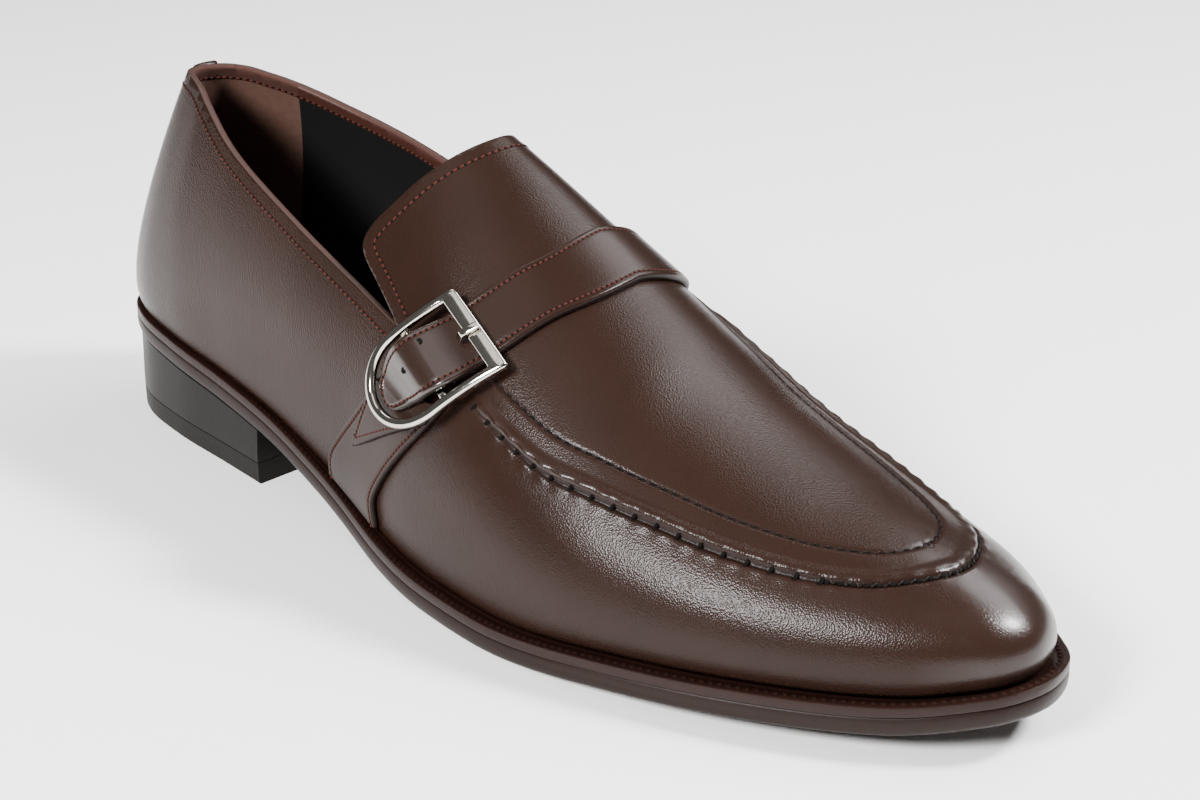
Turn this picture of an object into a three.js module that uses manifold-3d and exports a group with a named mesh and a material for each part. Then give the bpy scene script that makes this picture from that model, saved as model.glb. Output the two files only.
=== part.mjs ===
// Monk strap shoe for the right foot, in millimetres.
// +X points to the toe, -Y to the outer side with the buckle, +Z up. The floor is Z = 0.
import * as THREE from 'three';
import { mergeVertices } from 'three/addons/utils/BufferGeometryUtils.js';
import Module from 'manifold-3d';

const wasm = await Module();
wasm.setup();

// Driving sizes of the whole shoe
const shoeLength = 304;
const ballWidth = 102;
const instepHeight = 100;
const collarHeight = 98;
const heelHeight = 24.4;
const toeSpring = 10.5;
const sideFullness = 6;

// Thicknesses and edges
const pieceGap = 0.3;
const wallThickness = 2.2;
const outsoleThickness = 4.6;
const weltThickness = 2.4;
const insoleThickness = 2.5;
const weltReach = 4.4;
const weltWidth = 14;
const weltStep = 0.5;
const edgeBevel = 1.2;
const heelBreastAt = 0.252;
const heelInset = 0.6;
const topPieceThickness = 6;
const panelThickness = 1.4;
const tabThickness = 1.2;
const strapThickness = 1.8;
const backStripThickness = 1;
const backStripWidth = 15;
const seamHeight = 1.3;
const seamWidth = 6;

// Buckle, a D of flat wire with a bar across its middle, sized to the strap. Lift is its height off
// the last at its bar, rise how much more it stands off at its round end, turn and lean are degrees
const buckleWidth = 0.0852 * shoeLength;
const buckleDepth = 0.1073 * shoeLength;
const buckleLegShare = 0.58;
const buckleWire = 2.4;
const buckleBarWidth = 3.6;
const buckleThickness = 2.2;
const buckleLift = 2.8;
const buckleRise = 2.4;
const buckleTurn = -30;
const buckleLean = -9;
const buckleAt = 0.519;
const buckleAround = -0.597;
const centreBarShare = 0.47;
const centreBarWidth = 2.4;
const centreBarThickness = 2;
const prongWidth = 2.4;
const prongThickness = 1.1;

// Edge of the sole seen from above: share of the length from the heel, half widths as shares of the ball
const soleRows = [
  { at: 0, lateral: 0, medial: 0 },
  { at: 0.016, lateral: 0.182, medial: 0.168 },
  { at: 0.05, lateral: 0.25, medial: 0.255 },
  { at: 0.115, lateral: 0.295, medial: 0.318 },
  { at: 0.2, lateral: 0.321, medial: 0.327 },
  { at: 0.3, lateral: 0.356, medial: 0.304 },
  { at: 0.4, lateral: 0.412, medial: 0.284 },
  { at: 0.5, lateral: 0.488, medial: 0.328 },
  { at: 0.6, lateral: 0.53, medial: 0.406 },
  { at: 0.675, lateral: 0.526, medial: 0.46 },
  { at: 0.74, lateral: 0.49, medial: 0.474 },
  { at: 0.805, lateral: 0.433, medial: 0.45 },
  { at: 0.87, lateral: 0.353, medial: 0.382 },
  { at: 0.93, lateral: 0.254, medial: 0.29 },
  { at: 0.967, lateral: 0.17, medial: 0.2 },
  { at: 0.99, lateral: 0.096, medial: 0.12 },
  { at: 1, lateral: -0.005, medial: 0.005 },
];

// Underside of the sole above the floor, as shares of the heel's height and of the toe spring,
// and how far the welt stands out past the upper, as a share of its reach
const undersideRows = [
  { at: 0, heel: 1, toe: 0, reach: 0.41 },
  { at: 0.115, heel: 0.88, toe: 0, reach: 0.41 },
  { at: 0.25, heel: 0.67, toe: 0, reach: 0.45 },
  { at: 0.36, heel: 0.37, toe: 0, reach: 0.6 },
  { at: 0.46, heel: 0.066, toe: 0, reach: 0.77 },
  { at: 0.53, heel: 0, toe: 0, reach: 0.85 },
  { at: 0.6, heel: 0, toe: 0, reach: 0.9 },
  { at: 0.72, heel: 0, toe: 0.23, reach: 0.95 },
  { at: 0.82, heel: 0, toe: 0.38, reach: 0.98 },
  { at: 0.92, heel: 0, toe: 0.55, reach: 1 },
  { at: 1, heel: 0, toe: 1, reach: 1 },
];

// The last, a row for each section standing on the sole's edge at that share of the length.
// crownAt and crownSide place its crown, crown is the crown's height as a share of the instep,
// sweep is how much of the way from crown to foot along the shoe the crown's tangent keeps
const crownRows = [
  { at: 0, crownAt: 0.105, crownSide: 0, crown: 1.22, sweep: 1 },
  { at: 0.05, crownAt: 0.12, crownSide: 0, crown: 1.22, sweep: 1 },
  { at: 0.115, crownAt: 0.152, crownSide: 0, crown: 1.22, sweep: 1 },
  { at: 0.2, crownAt: 0.215, crownSide: 0, crown: 1.22, sweep: 0.7 },
  { at: 0.3, crownAt: 0.295, crownSide: 0.01, crown: 1.18, sweep: 0.35 },
  { at: 0.4, crownAt: 0.385, crownSide: 0.02, crown: 1.09, sweep: 0.35 },
  { at: 0.5, crownAt: 0.47, crownSide: 0.025, crown: 0.97, sweep: 0.35 },
  { at: 0.6, crownAt: 0.56, crownSide: 0.03, crown: 0.81, sweep: 0.35 },
  { at: 0.675, crownAt: 0.645, crownSide: 0.027, crown: 0.66, sweep: 0.35 },
  { at: 0.74, crownAt: 0.7, crownSide: 0.02, crown: 0.555, sweep: 0.35 },
  { at: 0.805, crownAt: 0.765, crownSide: 0.01, crown: 0.475, sweep: 0.4 },
  { at: 0.87, crownAt: 0.82, crownSide: 0.003, crown: 0.425, sweep: 0.7 },
  { at: 0.93, crownAt: 0.86, crownSide: 0, crown: 0.4, sweep: 1 },
  { at: 1, crownAt: 0.885, crownSide: 0, crown: 0.385, sweep: 1 },
];

// Sides of the last, outer and inner: rise and brow shape the lower and upper half, full is the swell
const sideRows = [
  { at: 0, riseL: 0.15, riseM: 0.15, fullL: 1.34, fullM: 1.34, browL: 0.16, browM: 0.16 },
  { at: 0.05, riseL: 0.15, riseM: 0.15, fullL: 1.34, fullM: 1.34, browL: 0.21, browM: 0.21 },
  { at: 0.115, riseL: 0.23, riseM: 0.23, fullL: 1.29, fullM: 1.29, browL: 0.36, browM: 0.37 },
  { at: 0.2, riseL: 0.38, riseM: 0.39, fullL: 1.2, fullM: 1.33, browL: 0.48, browM: 0.52 },
  { at: 0.3, riseL: 0.42, riseM: 0.44, fullL: 1.15, fullM: 1.5, browL: 0.53, browM: 0.55 },
  { at: 0.4, riseL: 0.45, riseM: 0.52, fullL: 1, fullM: 1.65, browL: 0.5, browM: 0.53 },
  { at: 0.5, riseL: 0.5, riseM: 0.57, fullL: 1, fullM: 1.5, browL: 0.48, browM: 0.51 },
  { at: 0.6, riseL: 0.52, riseM: 0.57, fullL: 1, fullM: 1.1, browL: 0.48, browM: 0.49 },
  { at: 0.675, riseL: 0.55, riseM: 0.53, fullL: 1, fullM: 0.75, browL: 0.5, browM: 0.46 },
  { at: 0.74, riseL: 0.58, riseM: 0.5, fullL: 1, fullM: 0.67, browL: 0.52, browM: 0.46 },
  { at: 0.805, riseL: 0.6, riseM: 0.53, fullL: 1, fullM: 0.67, browL: 0.54, browM: 0.48 },
  { at: 0.87, riseL: 0.62, riseM: 0.58, fullL: 1, fullM: 0.83, browL: 0.55, browM: 0.51 },
  { at: 0.93, riseL: 0.64, riseM: 0.63, fullL: 1, fullM: 0.92, browL: 0.55, browM: 0.53 },
  { at: 1, riseL: 0.66, riseM: 0.66, fullL: 1, fullM: 1, browL: 0.55, browM: 0.55 },
];

// Outer foot of the apron's seam, as a share of the way up each section, and how far it is raised
const seamRows = [
  { at: 0, lateral: 0.46, medial: 0.46, raisedL: 0, raisedM: 0 },
  { at: 0.56, lateral: 0.41, medial: 0.55, raisedL: 0, raisedM: 0 },
  { at: 0.6, lateral: 0.4, medial: 0.55, raisedL: 0.8, raisedM: 0 },
  { at: 0.64, lateral: 0.395, medial: 0.54, raisedL: 1, raisedM: 1 },
  { at: 0.69, lateral: 0.42, medial: 0.53, raisedL: 1, raisedM: 1 },
  { at: 0.75, lateral: 0.45, medial: 0.51, raisedL: 1, raisedM: 1 },
  { at: 0.81, lateral: 0.475, medial: 0.5, raisedL: 1, raisedM: 1 },
  { at: 0.86, lateral: 0.505, medial: 0.51, raisedL: 1, raisedM: 1 },
  { at: 0.9, lateral: 0.55, medial: 0.55, raisedL: 1, raisedM: 1 },
  { at: 0.94, lateral: 0.64, medial: 0.64, raisedL: 1, raisedM: 1 },
  { at: 1, lateral: 0.78, medial: 0.78, raisedL: 1, raisedM: 1 },
];

// Edge of the opening seen from the side: places as shares of the length, heights as shares of the collar
const openingRows = [
  { lateralAt: -0.05, lateral: 1.01, medialAt: -0.05, medial: 1 },
  { lateralAt: 0.06, lateral: 1.01, medialAt: 0.06, medial: 0.99 },
  { lateralAt: 0.1, lateral: 1, medialAt: 0.1, medial: 0.965 },
  { lateralAt: 0.135, lateral: 0.965, medialAt: 0.135, medial: 0.93 },
  { lateralAt: 0.19, lateral: 0.896, medialAt: 0.19, medial: 0.878 },
  { lateralAt: 0.28, lateral: 0.8, medialAt: 0.28, medial: 0.825 },
  { lateralAt: 0.36, lateral: 0.718, medialAt: 0.36, medial: 0.77 },
  { lateralAt: 0.42, lateral: 0.664, medialAt: 0.42, medial: 0.715 },
  { lateralAt: 0.456, lateral: 0.638, medialAt: 0.456, medial: 0.68 },
  { lateralAt: 0.42, lateral: 0.708, medialAt: 0.42, medial: 0.745 },
  { lateralAt: 0.396, lateral: 0.755, medialAt: 0.4, medial: 0.775 },
  { lateralAt: 0.388, lateral: 0.79, medialAt: 0.394, medial: 0.81 },
  { lateralAt: 0.392, lateral: 0.835, medialAt: 0.398, medial: 0.85 },
  { lateralAt: 0.404, lateral: 0.885, medialAt: 0.408, medial: 0.895 },
  { lateralAt: 0.423, lateral: 0.965, medialAt: 0.423, medial: 0.965 },
  { lateralAt: 0.444, lateral: 1.033, medialAt: 0.444, medial: 1.033 },
  { lateralAt: 0.48, lateral: 1.11, medialAt: 0.48, medial: 1.11 },
];

// Overlaid leather: each row runs from its front edge to its rear edge. At is the section's share of
// the length, around runs from -1 at the outer welt over the crown at 0 to 1 at the inner welt,
// lift is how many strap thicknesses the row stands off the leather below it
const strapRows = [
  { front: 0.443, frontAround: 0.985, rear: 0.363, rearAround: 0.985, lift: 0 },
  { front: 0.445, frontAround: 0.93, rear: 0.368, rearAround: 0.93, lift: 0 },
  { front: 0.468, frontAround: 0.86, rear: 0.388, rearAround: 0.86, lift: 0 },
  { front: 0.5, frontAround: 0.76, rear: 0.425, rearAround: 0.76, lift: 0 },
  { front: 0.537, frontAround: 0.66, rear: 0.465, rearAround: 0.66, lift: 0 },
  { front: 0.568, frontAround: 0.56, rear: 0.505, rearAround: 0.56, lift: 0.1 },
  { front: 0.594, frontAround: 0.45, rear: 0.54, rearAround: 0.44, lift: 0.1 },
  { front: 0.613, frontAround: 0.33, rear: 0.563, rearAround: 0.31, lift: 0 },
  { front: 0.626, frontAround: 0.2, rear: 0.578, rearAround: 0.18, lift: 0 },
  { front: 0.631, frontAround: 0.06, rear: 0.584, rearAround: 0.05, lift: 0 },
  { front: 0.63, frontAround: -0.08, rear: 0.583, rearAround: -0.08, lift: 0 },
  { front: 0.623, frontAround: -0.19, rear: 0.576, rearAround: -0.19, lift: 0 },
  { front: 0.609, frontAround: -0.3, rear: 0.563, rearAround: -0.28, lift: 0 },
  { front: 0.595, frontAround: -0.39, rear: 0.55, rearAround: -0.36, lift: 0.05 },
  { front: 0.583, frontAround: -0.455, rear: 0.538, rearAround: -0.42, lift: 0.15 },
  { front: 0.572, frontAround: -0.505, rear: 0.526, rearAround: -0.47, lift: 0.4 },
  { front: 0.561, frontAround: -0.555, rear: 0.512, rearAround: -0.52, lift: 1.6 },
  { front: 0.552, frontAround: -0.59, rear: 0.5, rearAround: -0.56, lift: 2.8 },
  { front: 0.541, frontAround: -0.62, rear: 0.491, rearAround: -0.59, lift: 2.9 },
  { front: 0.529, frontAround: -0.647, rear: 0.482, rearAround: -0.62, lift: 2.3 },
  { front: 0.519, frontAround: -0.665, rear: 0.477, rearAround: -0.648, lift: 1.9 },
  { front: 0.511, frontAround: -0.682, rear: 0.475, rearAround: -0.672, lift: 1.85 },
  { front: 0.504, frontAround: -0.694, rear: 0.479, rearAround: -0.69, lift: 1.85 },
  { front: 0.497, frontAround: -0.702, rear: 0.486, rearAround: -0.7, lift: 1.85 },
];
const panelRows = [
  { front: 0.449, frontAround: -0.985, rear: 0.373, rearAround: -0.985, lift: 0 },
  { front: 0.45, frontAround: -0.93, rear: 0.378, rearAround: -0.93, lift: 0 },
  { front: 0.467, frontAround: -0.87, rear: 0.396, rearAround: -0.87, lift: 0 },
  { front: 0.495, frontAround: -0.79, rear: 0.423, rearAround: -0.79, lift: 0 },
  { front: 0.523, frontAround: -0.71, rear: 0.448, rearAround: -0.71, lift: 0 },
  { front: 0.543, frontAround: -0.64, rear: 0.467, rearAround: -0.64, lift: 0 },
  { front: 0.555, frontAround: -0.58, rear: 0.478, rearAround: -0.58, lift: 0 },
];
const tabRows = [
  { front: 0.53, frontAround: -0.69, rear: 0.427, rearAround: -0.85, lift: 0 },
  { front: 0.532, frontAround: -0.675, rear: 0.436, rearAround: -0.8, lift: 0 },
  { front: 0.534, frontAround: -0.66, rear: 0.445, rearAround: -0.75, lift: 0 },
  { front: 0.536, frontAround: -0.645, rear: 0.455, rearAround: -0.69, lift: 0 },
];
// Strip over the back seam: height as a share of the collar's, width as a share of the strip's
const backStripRows = [
  { height: 0.63, width: 0.3 },
  { height: 0.71, width: 0.5 },
  { height: 0.8, width: 0.8 },
  { height: 0.915, width: 1 },
];

// Smooth curve through one column of a table, level between equal rows and never past a row
function column(rows, name, key = 'at') {
  const count = rows.length;
  const slope = (i) => (rows[i + 1][name] - rows[i][name]) / (rows[i + 1][key] - rows[i][key]);
  const lean = rows.map((row, i) => {
    if (i === 0) return slope(0);
    if (i === count - 1) return slope(count - 2);
    const before = slope(i - 1);
    const after = slope(i);
    return before * after <= 0 ? 0 : (2 * before * after) / (before + after);
  });
  return (at) => {
    const x = Math.min(Math.max(at, rows[0][key]), rows[count - 1][key]);
    let i = 0;
    while (i < count - 2 && x > rows[i + 1][key]) i += 1;
    const step = rows[i + 1][key] - rows[i][key];
    const share = (x - rows[i][key]) / step;
    return hermite(share, rows[i][name], rows[i + 1][name], lean[i] * step, lean[i + 1] * step);
  };
}

function hermite(t, a, b, leanA, leanB) {
  const t2 = t * t;
  const t3 = t2 * t;
  return (2 * t3 - 3 * t2 + 1) * a + (t3 - 2 * t2 + t) * leanA + (3 * t2 - 2 * t3) * b + (t3 - t2) * leanB;
}

function columns(rows, names) {
  return Object.fromEntries(names.map((name) => [name, column(rows, name)]));
}

// The wider outer side is moved in, so that the shoe's box is centred
const sideShift = 0.029 * ballWidth;

// Plan of the sole's edge as one closed loop, heel to toe on the outer side and back on the inner side
const placeX = (at) => (at - 0.5) * shoeLength;
const lastRow = soleRows.length - 1;
const loop = [
  ...soleRows.map((row) => new THREE.Vector2(placeX(row.at), sideShift - row.lateral * ballWidth)),
  ...soleRows.slice(1, -1).reverse()
    .map((row) => new THREE.Vector2(placeX(row.at), sideShift + row.medial * ballWidth)),
];
const loopKnots = loop.map((point, i) => Math.sqrt(point.distanceTo(loop[(i + 1) % loop.length])));
const loopLean = loop.map((point, i) => {
  const before = (i + loop.length - 1) % loop.length;
  const back = point.clone().sub(loop[before]).divideScalar(loopKnots[before]);
  const on = loop[(i + 1) % loop.length].clone().sub(point).divideScalar(loopKnots[i]);
  const weight = loopKnots[i] + loopKnots[before];
  return back.multiplyScalar(loopKnots[i] / weight).add(on.multiplyScalar(loopKnots[before] / weight));
});

function loopPoint(place) {
  const u = ((place % loop.length) + loop.length) % loop.length;
  const i = Math.floor(u) % loop.length;
  const j = (i + 1) % loop.length;
  const along = (axis) => hermite(u - Math.floor(u), loop[i][axis], loop[j][axis],
    loopLean[i][axis] * loopKnots[i], loopLean[j][axis] * loopKnots[i]);
  return new THREE.Vector2(along('x'), along('y'));
}

const rowOf = column(soleRows.map((row, index) => ({ at: row.at, index })), 'index');

// Point of the sole's edge moved inwards, with its outward direction. Side is -1 outer, 1 inner
function edgePoint(side, at, inset) {
  const place = side < 0 ? rowOf(at) : loop.length - rowOf(at);
  const step = 0.001;
  const along = loopPoint(place + step).sub(loopPoint(place - step)).normalize();
  const outward = new THREE.Vector2(along.y, -along.x);
  const point = loopPoint(place).addScaledVector(outward, -inset);
  return { x: point.x, y: point.y, outward };
}

// Heights of the sole's layers
const underside = columns(undersideRows, ['heel', 'toe', 'reach']);
const atOf = (x) => x / shoeLength + 0.5;
const undersideHeight = (x) => heelHeight * underside.heel(atOf(x)) + toeSpring * underside.toe(atOf(x));
const outsoleTop = (x) => undersideHeight(x) + outsoleThickness;
const weltTop = (x) => outsoleTop(x) + pieceGap + weltThickness;
const reachAt = (at) => weltReach * underside.reach(at);

// Outer face of the last: each section is a cubic from its foot on the welt to the crown
const shape = {
  ...columns(crownRows, ['crownAt', 'crownSide', 'crown', 'sweep']),
  ...columns(sideRows, ['riseL', 'riseM', 'fullL', 'fullM', 'browL', 'browM']),
};

function crownPoint(at) {
  const side = sideShift + shape.crownSide(at) * ballWidth;
  return new THREE.Vector3(placeX(shape.crownAt(at)), side, shape.crown(at) * instepHeight);
}

function crownSlope(at) {
  const step = 0.002;
  const ahead = crownPoint(Math.min(at + step, 1));
  const behind = crownPoint(Math.max(at - step, 0));
  const run = Math.max(ahead.x - behind.x, 1e-6);
  return THREE.MathUtils.clamp((ahead.z - behind.z) / run, -0.9, 0.9);
}

function section(side, at) {
  const rim = edgePoint(side, at, reachAt(at));
  const foot = new THREE.Vector3(rim.x, rim.y, weltTop(rim.x) + pieceGap);
  const crown = crownPoint(at);
  const [rise, full, brow] = side < 0
    ? [shape.riseL(at), shape.fullL(at), shape.browL(at)]
    : [shape.riseM(at), shape.fullM(at), shape.browM(at)];
  const swell = new THREE.Vector3(rim.outward.x, rim.outward.y, 0).multiplyScalar(full * sideFullness);
  const low = foot.clone().add(swell).setZ(foot.z + (crown.z - foot.z) * rise);
  const reach = foot.clone().sub(crown).multiplyScalar(brow);
  reach.x *= shape.sweep(at);
  const high = crown.clone().add(reach).setZ(crown.z + reach.x * crownSlope(at));
  return { foot, low, high, crown };
}

const sections = new Map();

function sectionAt(side, at) {
  const name = `${side} ${at.toFixed(7)}`;
  if (!sections.has(name)) sections.set(name, section(side, at));
  return sections.get(name);
}

function lastPoint(side, at, up) {
  const { foot, low, high, crown } = sectionAt(side, at);
  const down = 1 - up;
  return foot.clone().multiplyScalar(down ** 3)
    .addScaledVector(low, 3 * down * down * up)
    .addScaledVector(high, 3 * down * up * up)
    .addScaledVector(crown, up ** 3);
}

function lastNormal(side, at, up) {
  if (up > 0.9999) return new THREE.Vector3(-crownSlope(at), 0, 1).normalize();
  const step = 0.001;
  const atEnd = at <= 0 || at >= 1;
  const hand = atEnd ? -1 : side;
  const along = lastPoint(hand, Math.min(at + step, 1), up).sub(lastPoint(hand, Math.max(at - step, 0), up));
  const rise = lastPoint(hand, at, Math.min(up + step, 1)).sub(lastPoint(hand, at, Math.max(up - step, 0)));
  const normal = along.cross(rise).multiplyScalar(-hand);
  if (atEnd) normal.y = 0;
  return normal.normalize();
}

function wallPoint(side, at, up, lift) {
  return lastPoint(side, at, up).addScaledVector(lastNormal(side, at, up), lift);
}

// Solid from rings of points of equal length, closed round each ring
function loft(rings, { closedAlong = false, capped = false } = {}) {
  const size = rings[0].length;
  const positions = rings.flat().flatMap((point) => [point.x, point.y, point.z]);
  const index = [];
  const quad = (a, b, c, d) => index.push(a, b, c, a, c, d);
  const last = closedAlong ? rings.length : rings.length - 1;
  for (let i = 0; i < last; i += 1) {
    const next = (i + 1) % rings.length;
    for (let k = 0; k < size; k += 1) {
      const turn = (k + 1) % size;
      quad(i * size + k, next * size + k, next * size + turn, i * size + turn);
    }
  }
  if (capped) {
    const end = (rings.length - 1) * size;
    for (let k = 0; k < size / 2 - 1; k += 1) {
      const back = size - 1 - k;
      quad(k, k + 1, back - 1, back);
      quad(end + k, end + back, end + back - 1, end + k + 1);
    }
  }
  return outward(positions, index);
}

// Points that coincide become one, empty triangles go, and the faces are turned outwards
function outward(positions, index) {
  const raw = new THREE.BufferGeometry();
  raw.setAttribute('position', new THREE.Float32BufferAttribute(positions, 3));
  raw.setIndex(index);
  const merged = mergeVertices(raw, 1e-4);
  const corners = merged.index.array;
  const kept = [];
  for (let i = 0; i < corners.length; i += 3) {
    const [a, b, c] = [corners[i], corners[i + 1], corners[i + 2]];
    if (a !== b && b !== c && c !== a) kept.push(a, b, c);
  }
  const point = (i) => new THREE.Vector3().fromBufferAttribute(merged.getAttribute('position'), i);
  let volume = 0;
  for (let i = 0; i < kept.length; i += 3) {
    volume += point(kept[i]).dot(point(kept[i + 1]).cross(point(kept[i + 2])));
  }
  if (volume < 0) kept.reverse();
  merged.setIndex(kept);
  return merged;
}

function toManifold(geometry) {
  const plain = mergeVertices(geometry, 1e-4);
  return new wasm.Manifold(new wasm.Mesh({
    numProp: 3,
    vertProperties: new Float32Array(plain.getAttribute('position').array),
    triVerts: new Uint32Array(plain.index.array),
  }));
}

function toGeometry(solid) {
  const mesh = solid.getMesh();
  const geometry = new THREE.BufferGeometry();
  geometry.setAttribute('position', new THREE.Float32BufferAttribute(mesh.vertProperties, 3));
  geometry.setIndex(Array.from(mesh.triVerts));
  return geometry;
}

// Stations along the shoe, closer together round the heel and the toe
function stations(from, to, count) {
  const list = [];
  for (let i = 0; i <= count; i += 1) {
    const even = i / count;
    const bunched = (1 - Math.cos(Math.PI * even)) / 2;
    list.push(from + (to - from) * (0.35 * even + 0.65 * bunched));
  }
  return list;
}

// Plate across the sole: its edge climbs through rows of inset and height
function plate(list, edgeRows, capped = false) {
  const rings = list.map((at) => {
    const climb = (side) => edgeRows.map((row) => {
      const point = edgePoint(side, at, row.inset);
      return new THREE.Vector3(point.x, point.y, row.height(point.x));
    });
    return [...climb(-1), ...climb(1).reverse()];
  });
  return loft(rings, { capped });
}

const soleStations = stations(0, 1, 50);
const outsole = plate(soleStations, [
  { inset: edgeBevel, height: undersideHeight },
  { inset: 0, height: (x) => undersideHeight(x) + edgeBevel },
  { inset: 0, height: outsoleTop },
]);

const heelStations = stations(0, heelBreastAt * 2, 40).filter((at) => at < heelBreastAt - 0.004);
heelStations.push(heelBreastAt);

const heelTopPiece = plate(heelStations, [
  { inset: heelInset + 0.5, height: () => 0 },
  { inset: heelInset, height: () => 0.6 },
  { inset: heelInset, height: () => topPieceThickness },
], true);

const heelBlock = plate(heelStations, [
  { inset: heelInset, height: () => topPieceThickness + pieceGap },
  { inset: heelInset + 0.4, height: (x) => undersideHeight(x) - pieceGap },
], true);

// Welt: a strip all round, a step in from the outsole's edge
function weltRing(side, at) {
  const corner = (inset, height) => {
    const point = edgePoint(side, at, inset);
    return new THREE.Vector3(point.x, point.y, height(point.x));
  };
  const low = (x) => outsoleTop(x) + pieceGap;
  return [
    corner(weltStep, low),
    corner(weltStep, (x) => weltTop(x) - 0.5),
    corner(weltStep + 0.5, weltTop),
    corner(weltWidth, weltTop),
    corner(weltWidth, low),
  ];
}
const welt = loft([
  ...soleStations.map((at) => weltRing(-1, at)),
  ...soleStations.slice(1, -1).reverse().map((at) => weltRing(1, at)),
], { closedAlong: true });

// Insole: fills the welt's inside and lies on it, up to the upper's wall
const insoleEdge = weltReach + wallThickness + 2 * pieceGap;
const insole = plate(soleStations, [
  { inset: weltWidth + pieceGap, height: (x) => outsoleTop(x) + pieceGap },
  { inset: weltWidth + pieceGap, height: (x) => weltTop(x) + pieceGap },
  { inset: insoleEdge, height: (x) => weltTop(x) + pieceGap },
  { inset: insoleEdge, height: (x) => weltTop(x) + pieceGap + insoleThickness },
]);

// Raised seam of the apron: nothing at its two feet, full between them
const seam = columns(seamRows, ['lateral', 'medial', 'raisedL', 'raisedM']);
const seamShares = [0, 0.35, 0.7, 1];
const seamLifts = [0, 1, 0.9, -0.15];
const wallSteps = 5;
const apronSteps = 5;

function seamRow(side, at) {
  const { foot, crown } = sectionAt(side, at);
  const start = side < 0 ? seam.lateral(at) : seam.medial(at);
  const width = Math.min(seamWidth / foot.distanceTo(crown), 0.9 * (0.98 - start));
  const raised = side < 0 ? seam.raisedL(at) : seam.raisedM(at);
  return { start, width, height: seamHeight * raised };
}

// Ring of one section of the shoe, from the outer foot over the crown to the inner foot
function sectionRing(at, lift, seamed, footDrop) {
  const climb = (side) => {
    const { start, width, height } = seamRow(side, at);
    const points = [];
    for (let i = 0; i < wallSteps; i += 1) points.push([start * i / wallSteps, 0]);
    seamShares.forEach((share, i) => points.push([start + width * share, height * seamLifts[i]]));
    const top = start + width;
    for (let i = 1; i <= apronSteps; i += 1) points.push([top + (1 - top) * i / apronSteps, 0]);
    const list = points.map(([up, raised]) => wallPoint(side, at, up, lift + (seamed ? raised : 0)));
    if (footDrop > 0) list.unshift(list[0].clone().setZ(list[0].z - footDrop));
    return list;
  };
  return [...climb(-1), ...climb(1).reverse().slice(1)];
}

// The opening's edge as a wall across the shoe, ruled between its outer and inner lines
function openingCutter() {
  const halfSpan = ballWidth;
  const blend = ballWidth * 0.12;
  const ceiling = collarHeight * 2;
  const line = (y, share) => {
    const points = openingRows.map((row) => new THREE.Vector3(
      placeX(THREE.MathUtils.lerp(row.lateralAt, row.medialAt, share)), y,
      collarHeight * THREE.MathUtils.lerp(row.lateral, row.medial, share),
    ));
    const first = points[0];
    const last = points[points.length - 1];
    return [...points, last.clone().setZ(ceiling), first.clone().setZ(ceiling)];
  };
  const rings = [line(-halfSpan, 0), line(-blend, 0), line(blend, 1), line(halfSpan, 1)];
  return extrudeAcross(rings);
}

// Solid between outlines that lie in planes across the shoe, with flat ends
function extrudeAcross(rings) {
  const size = rings[0].length;
  const outline = rings[0].map((point) => new THREE.Vector2(point.x, point.z));
  const faces = THREE.ShapeUtils.triangulateShape(outline, []);
  const positions = rings.flat().flatMap((point) => [point.x, point.y, point.z]);
  const index = [];
  for (let i = 0; i < rings.length - 1; i += 1) {
    for (let k = 0; k < size; k += 1) {
      const turn = (k + 1) % size;
      index.push(i * size + k, (i + 1) * size + k, (i + 1) * size + turn);
      index.push(i * size + k, (i + 1) * size + turn, i * size + turn);
    }
  }
  const end = (rings.length - 1) * size;
  const facing = THREE.ShapeUtils.isClockWise(outline) ? -1 : 1;
  faces.forEach(([a, b, c]) => {
    index.push(...(facing > 0 ? [a, b, c] : [a, c, b]));
    index.push(...(facing > 0 ? [end + a, end + c, end + b] : [end + a, end + b, end + c]));
  });
  return outward(positions, index);
}

function upperGeometry() {
  const below = insoleThickness + outsoleThickness;
  const outer = toManifold(loft(soleStations.map((at) => sectionRing(at, 0, true, 0))));
  const inner = toManifold(loft(soleStations.map((at) => sectionRing(at, -wallThickness, false, below))));
  return toGeometry(outer.subtract(inner).subtract(toManifold(openingCutter())));
}

// Leather laid on the last: rows run from a front edge to a rear edge
function overlay(rows, columnsAcross, rowSteps, base, thickness) {
  const keyed = rows.map((row, index) => ({ ...row, index }));
  const read = Object.fromEntries(Object.keys(rows[0]).map((name) => [name, column(keyed, name, 'index')]));
  const rings = [];
  const count = (rows.length - 1) * rowSteps;
  for (let i = 0; i <= count; i += 1) {
    const row = i / rowSteps;
    const low = base + pieceGap + read.lift(row) * strapThickness;
    const across = [];
    for (let k = 0; k <= columnsAcross; k += 1) {
      const share = k / columnsAcross;
      const at = THREE.MathUtils.lerp(read.front(row), read.rear(row), share);
      const around = THREE.MathUtils.lerp(read.frontAround(row), read.rearAround(row), share);
      across.push([around < 0 ? -1 : 1, at, 1 - Math.abs(around)]);
    }
    rings.push([
      ...across.map(([side, at, up]) => wallPoint(side, at, up, low)),
      ...across.reverse().map(([side, at, up]) => wallPoint(side, at, up, low + thickness)),
    ]);
  }
  return loft(rings, { capped: true });
}

// Share of the way up a section at which the last has a given height
function upAtHeight(side, at, height) {
  let [low, high] = [0, 1];
  for (let i = 0; i < 30; i += 1) {
    const middle = (low + high) / 2;
    if (lastPoint(side, at, middle).z < height) low = middle;
    else high = middle;
  }
  return low;
}

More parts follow.
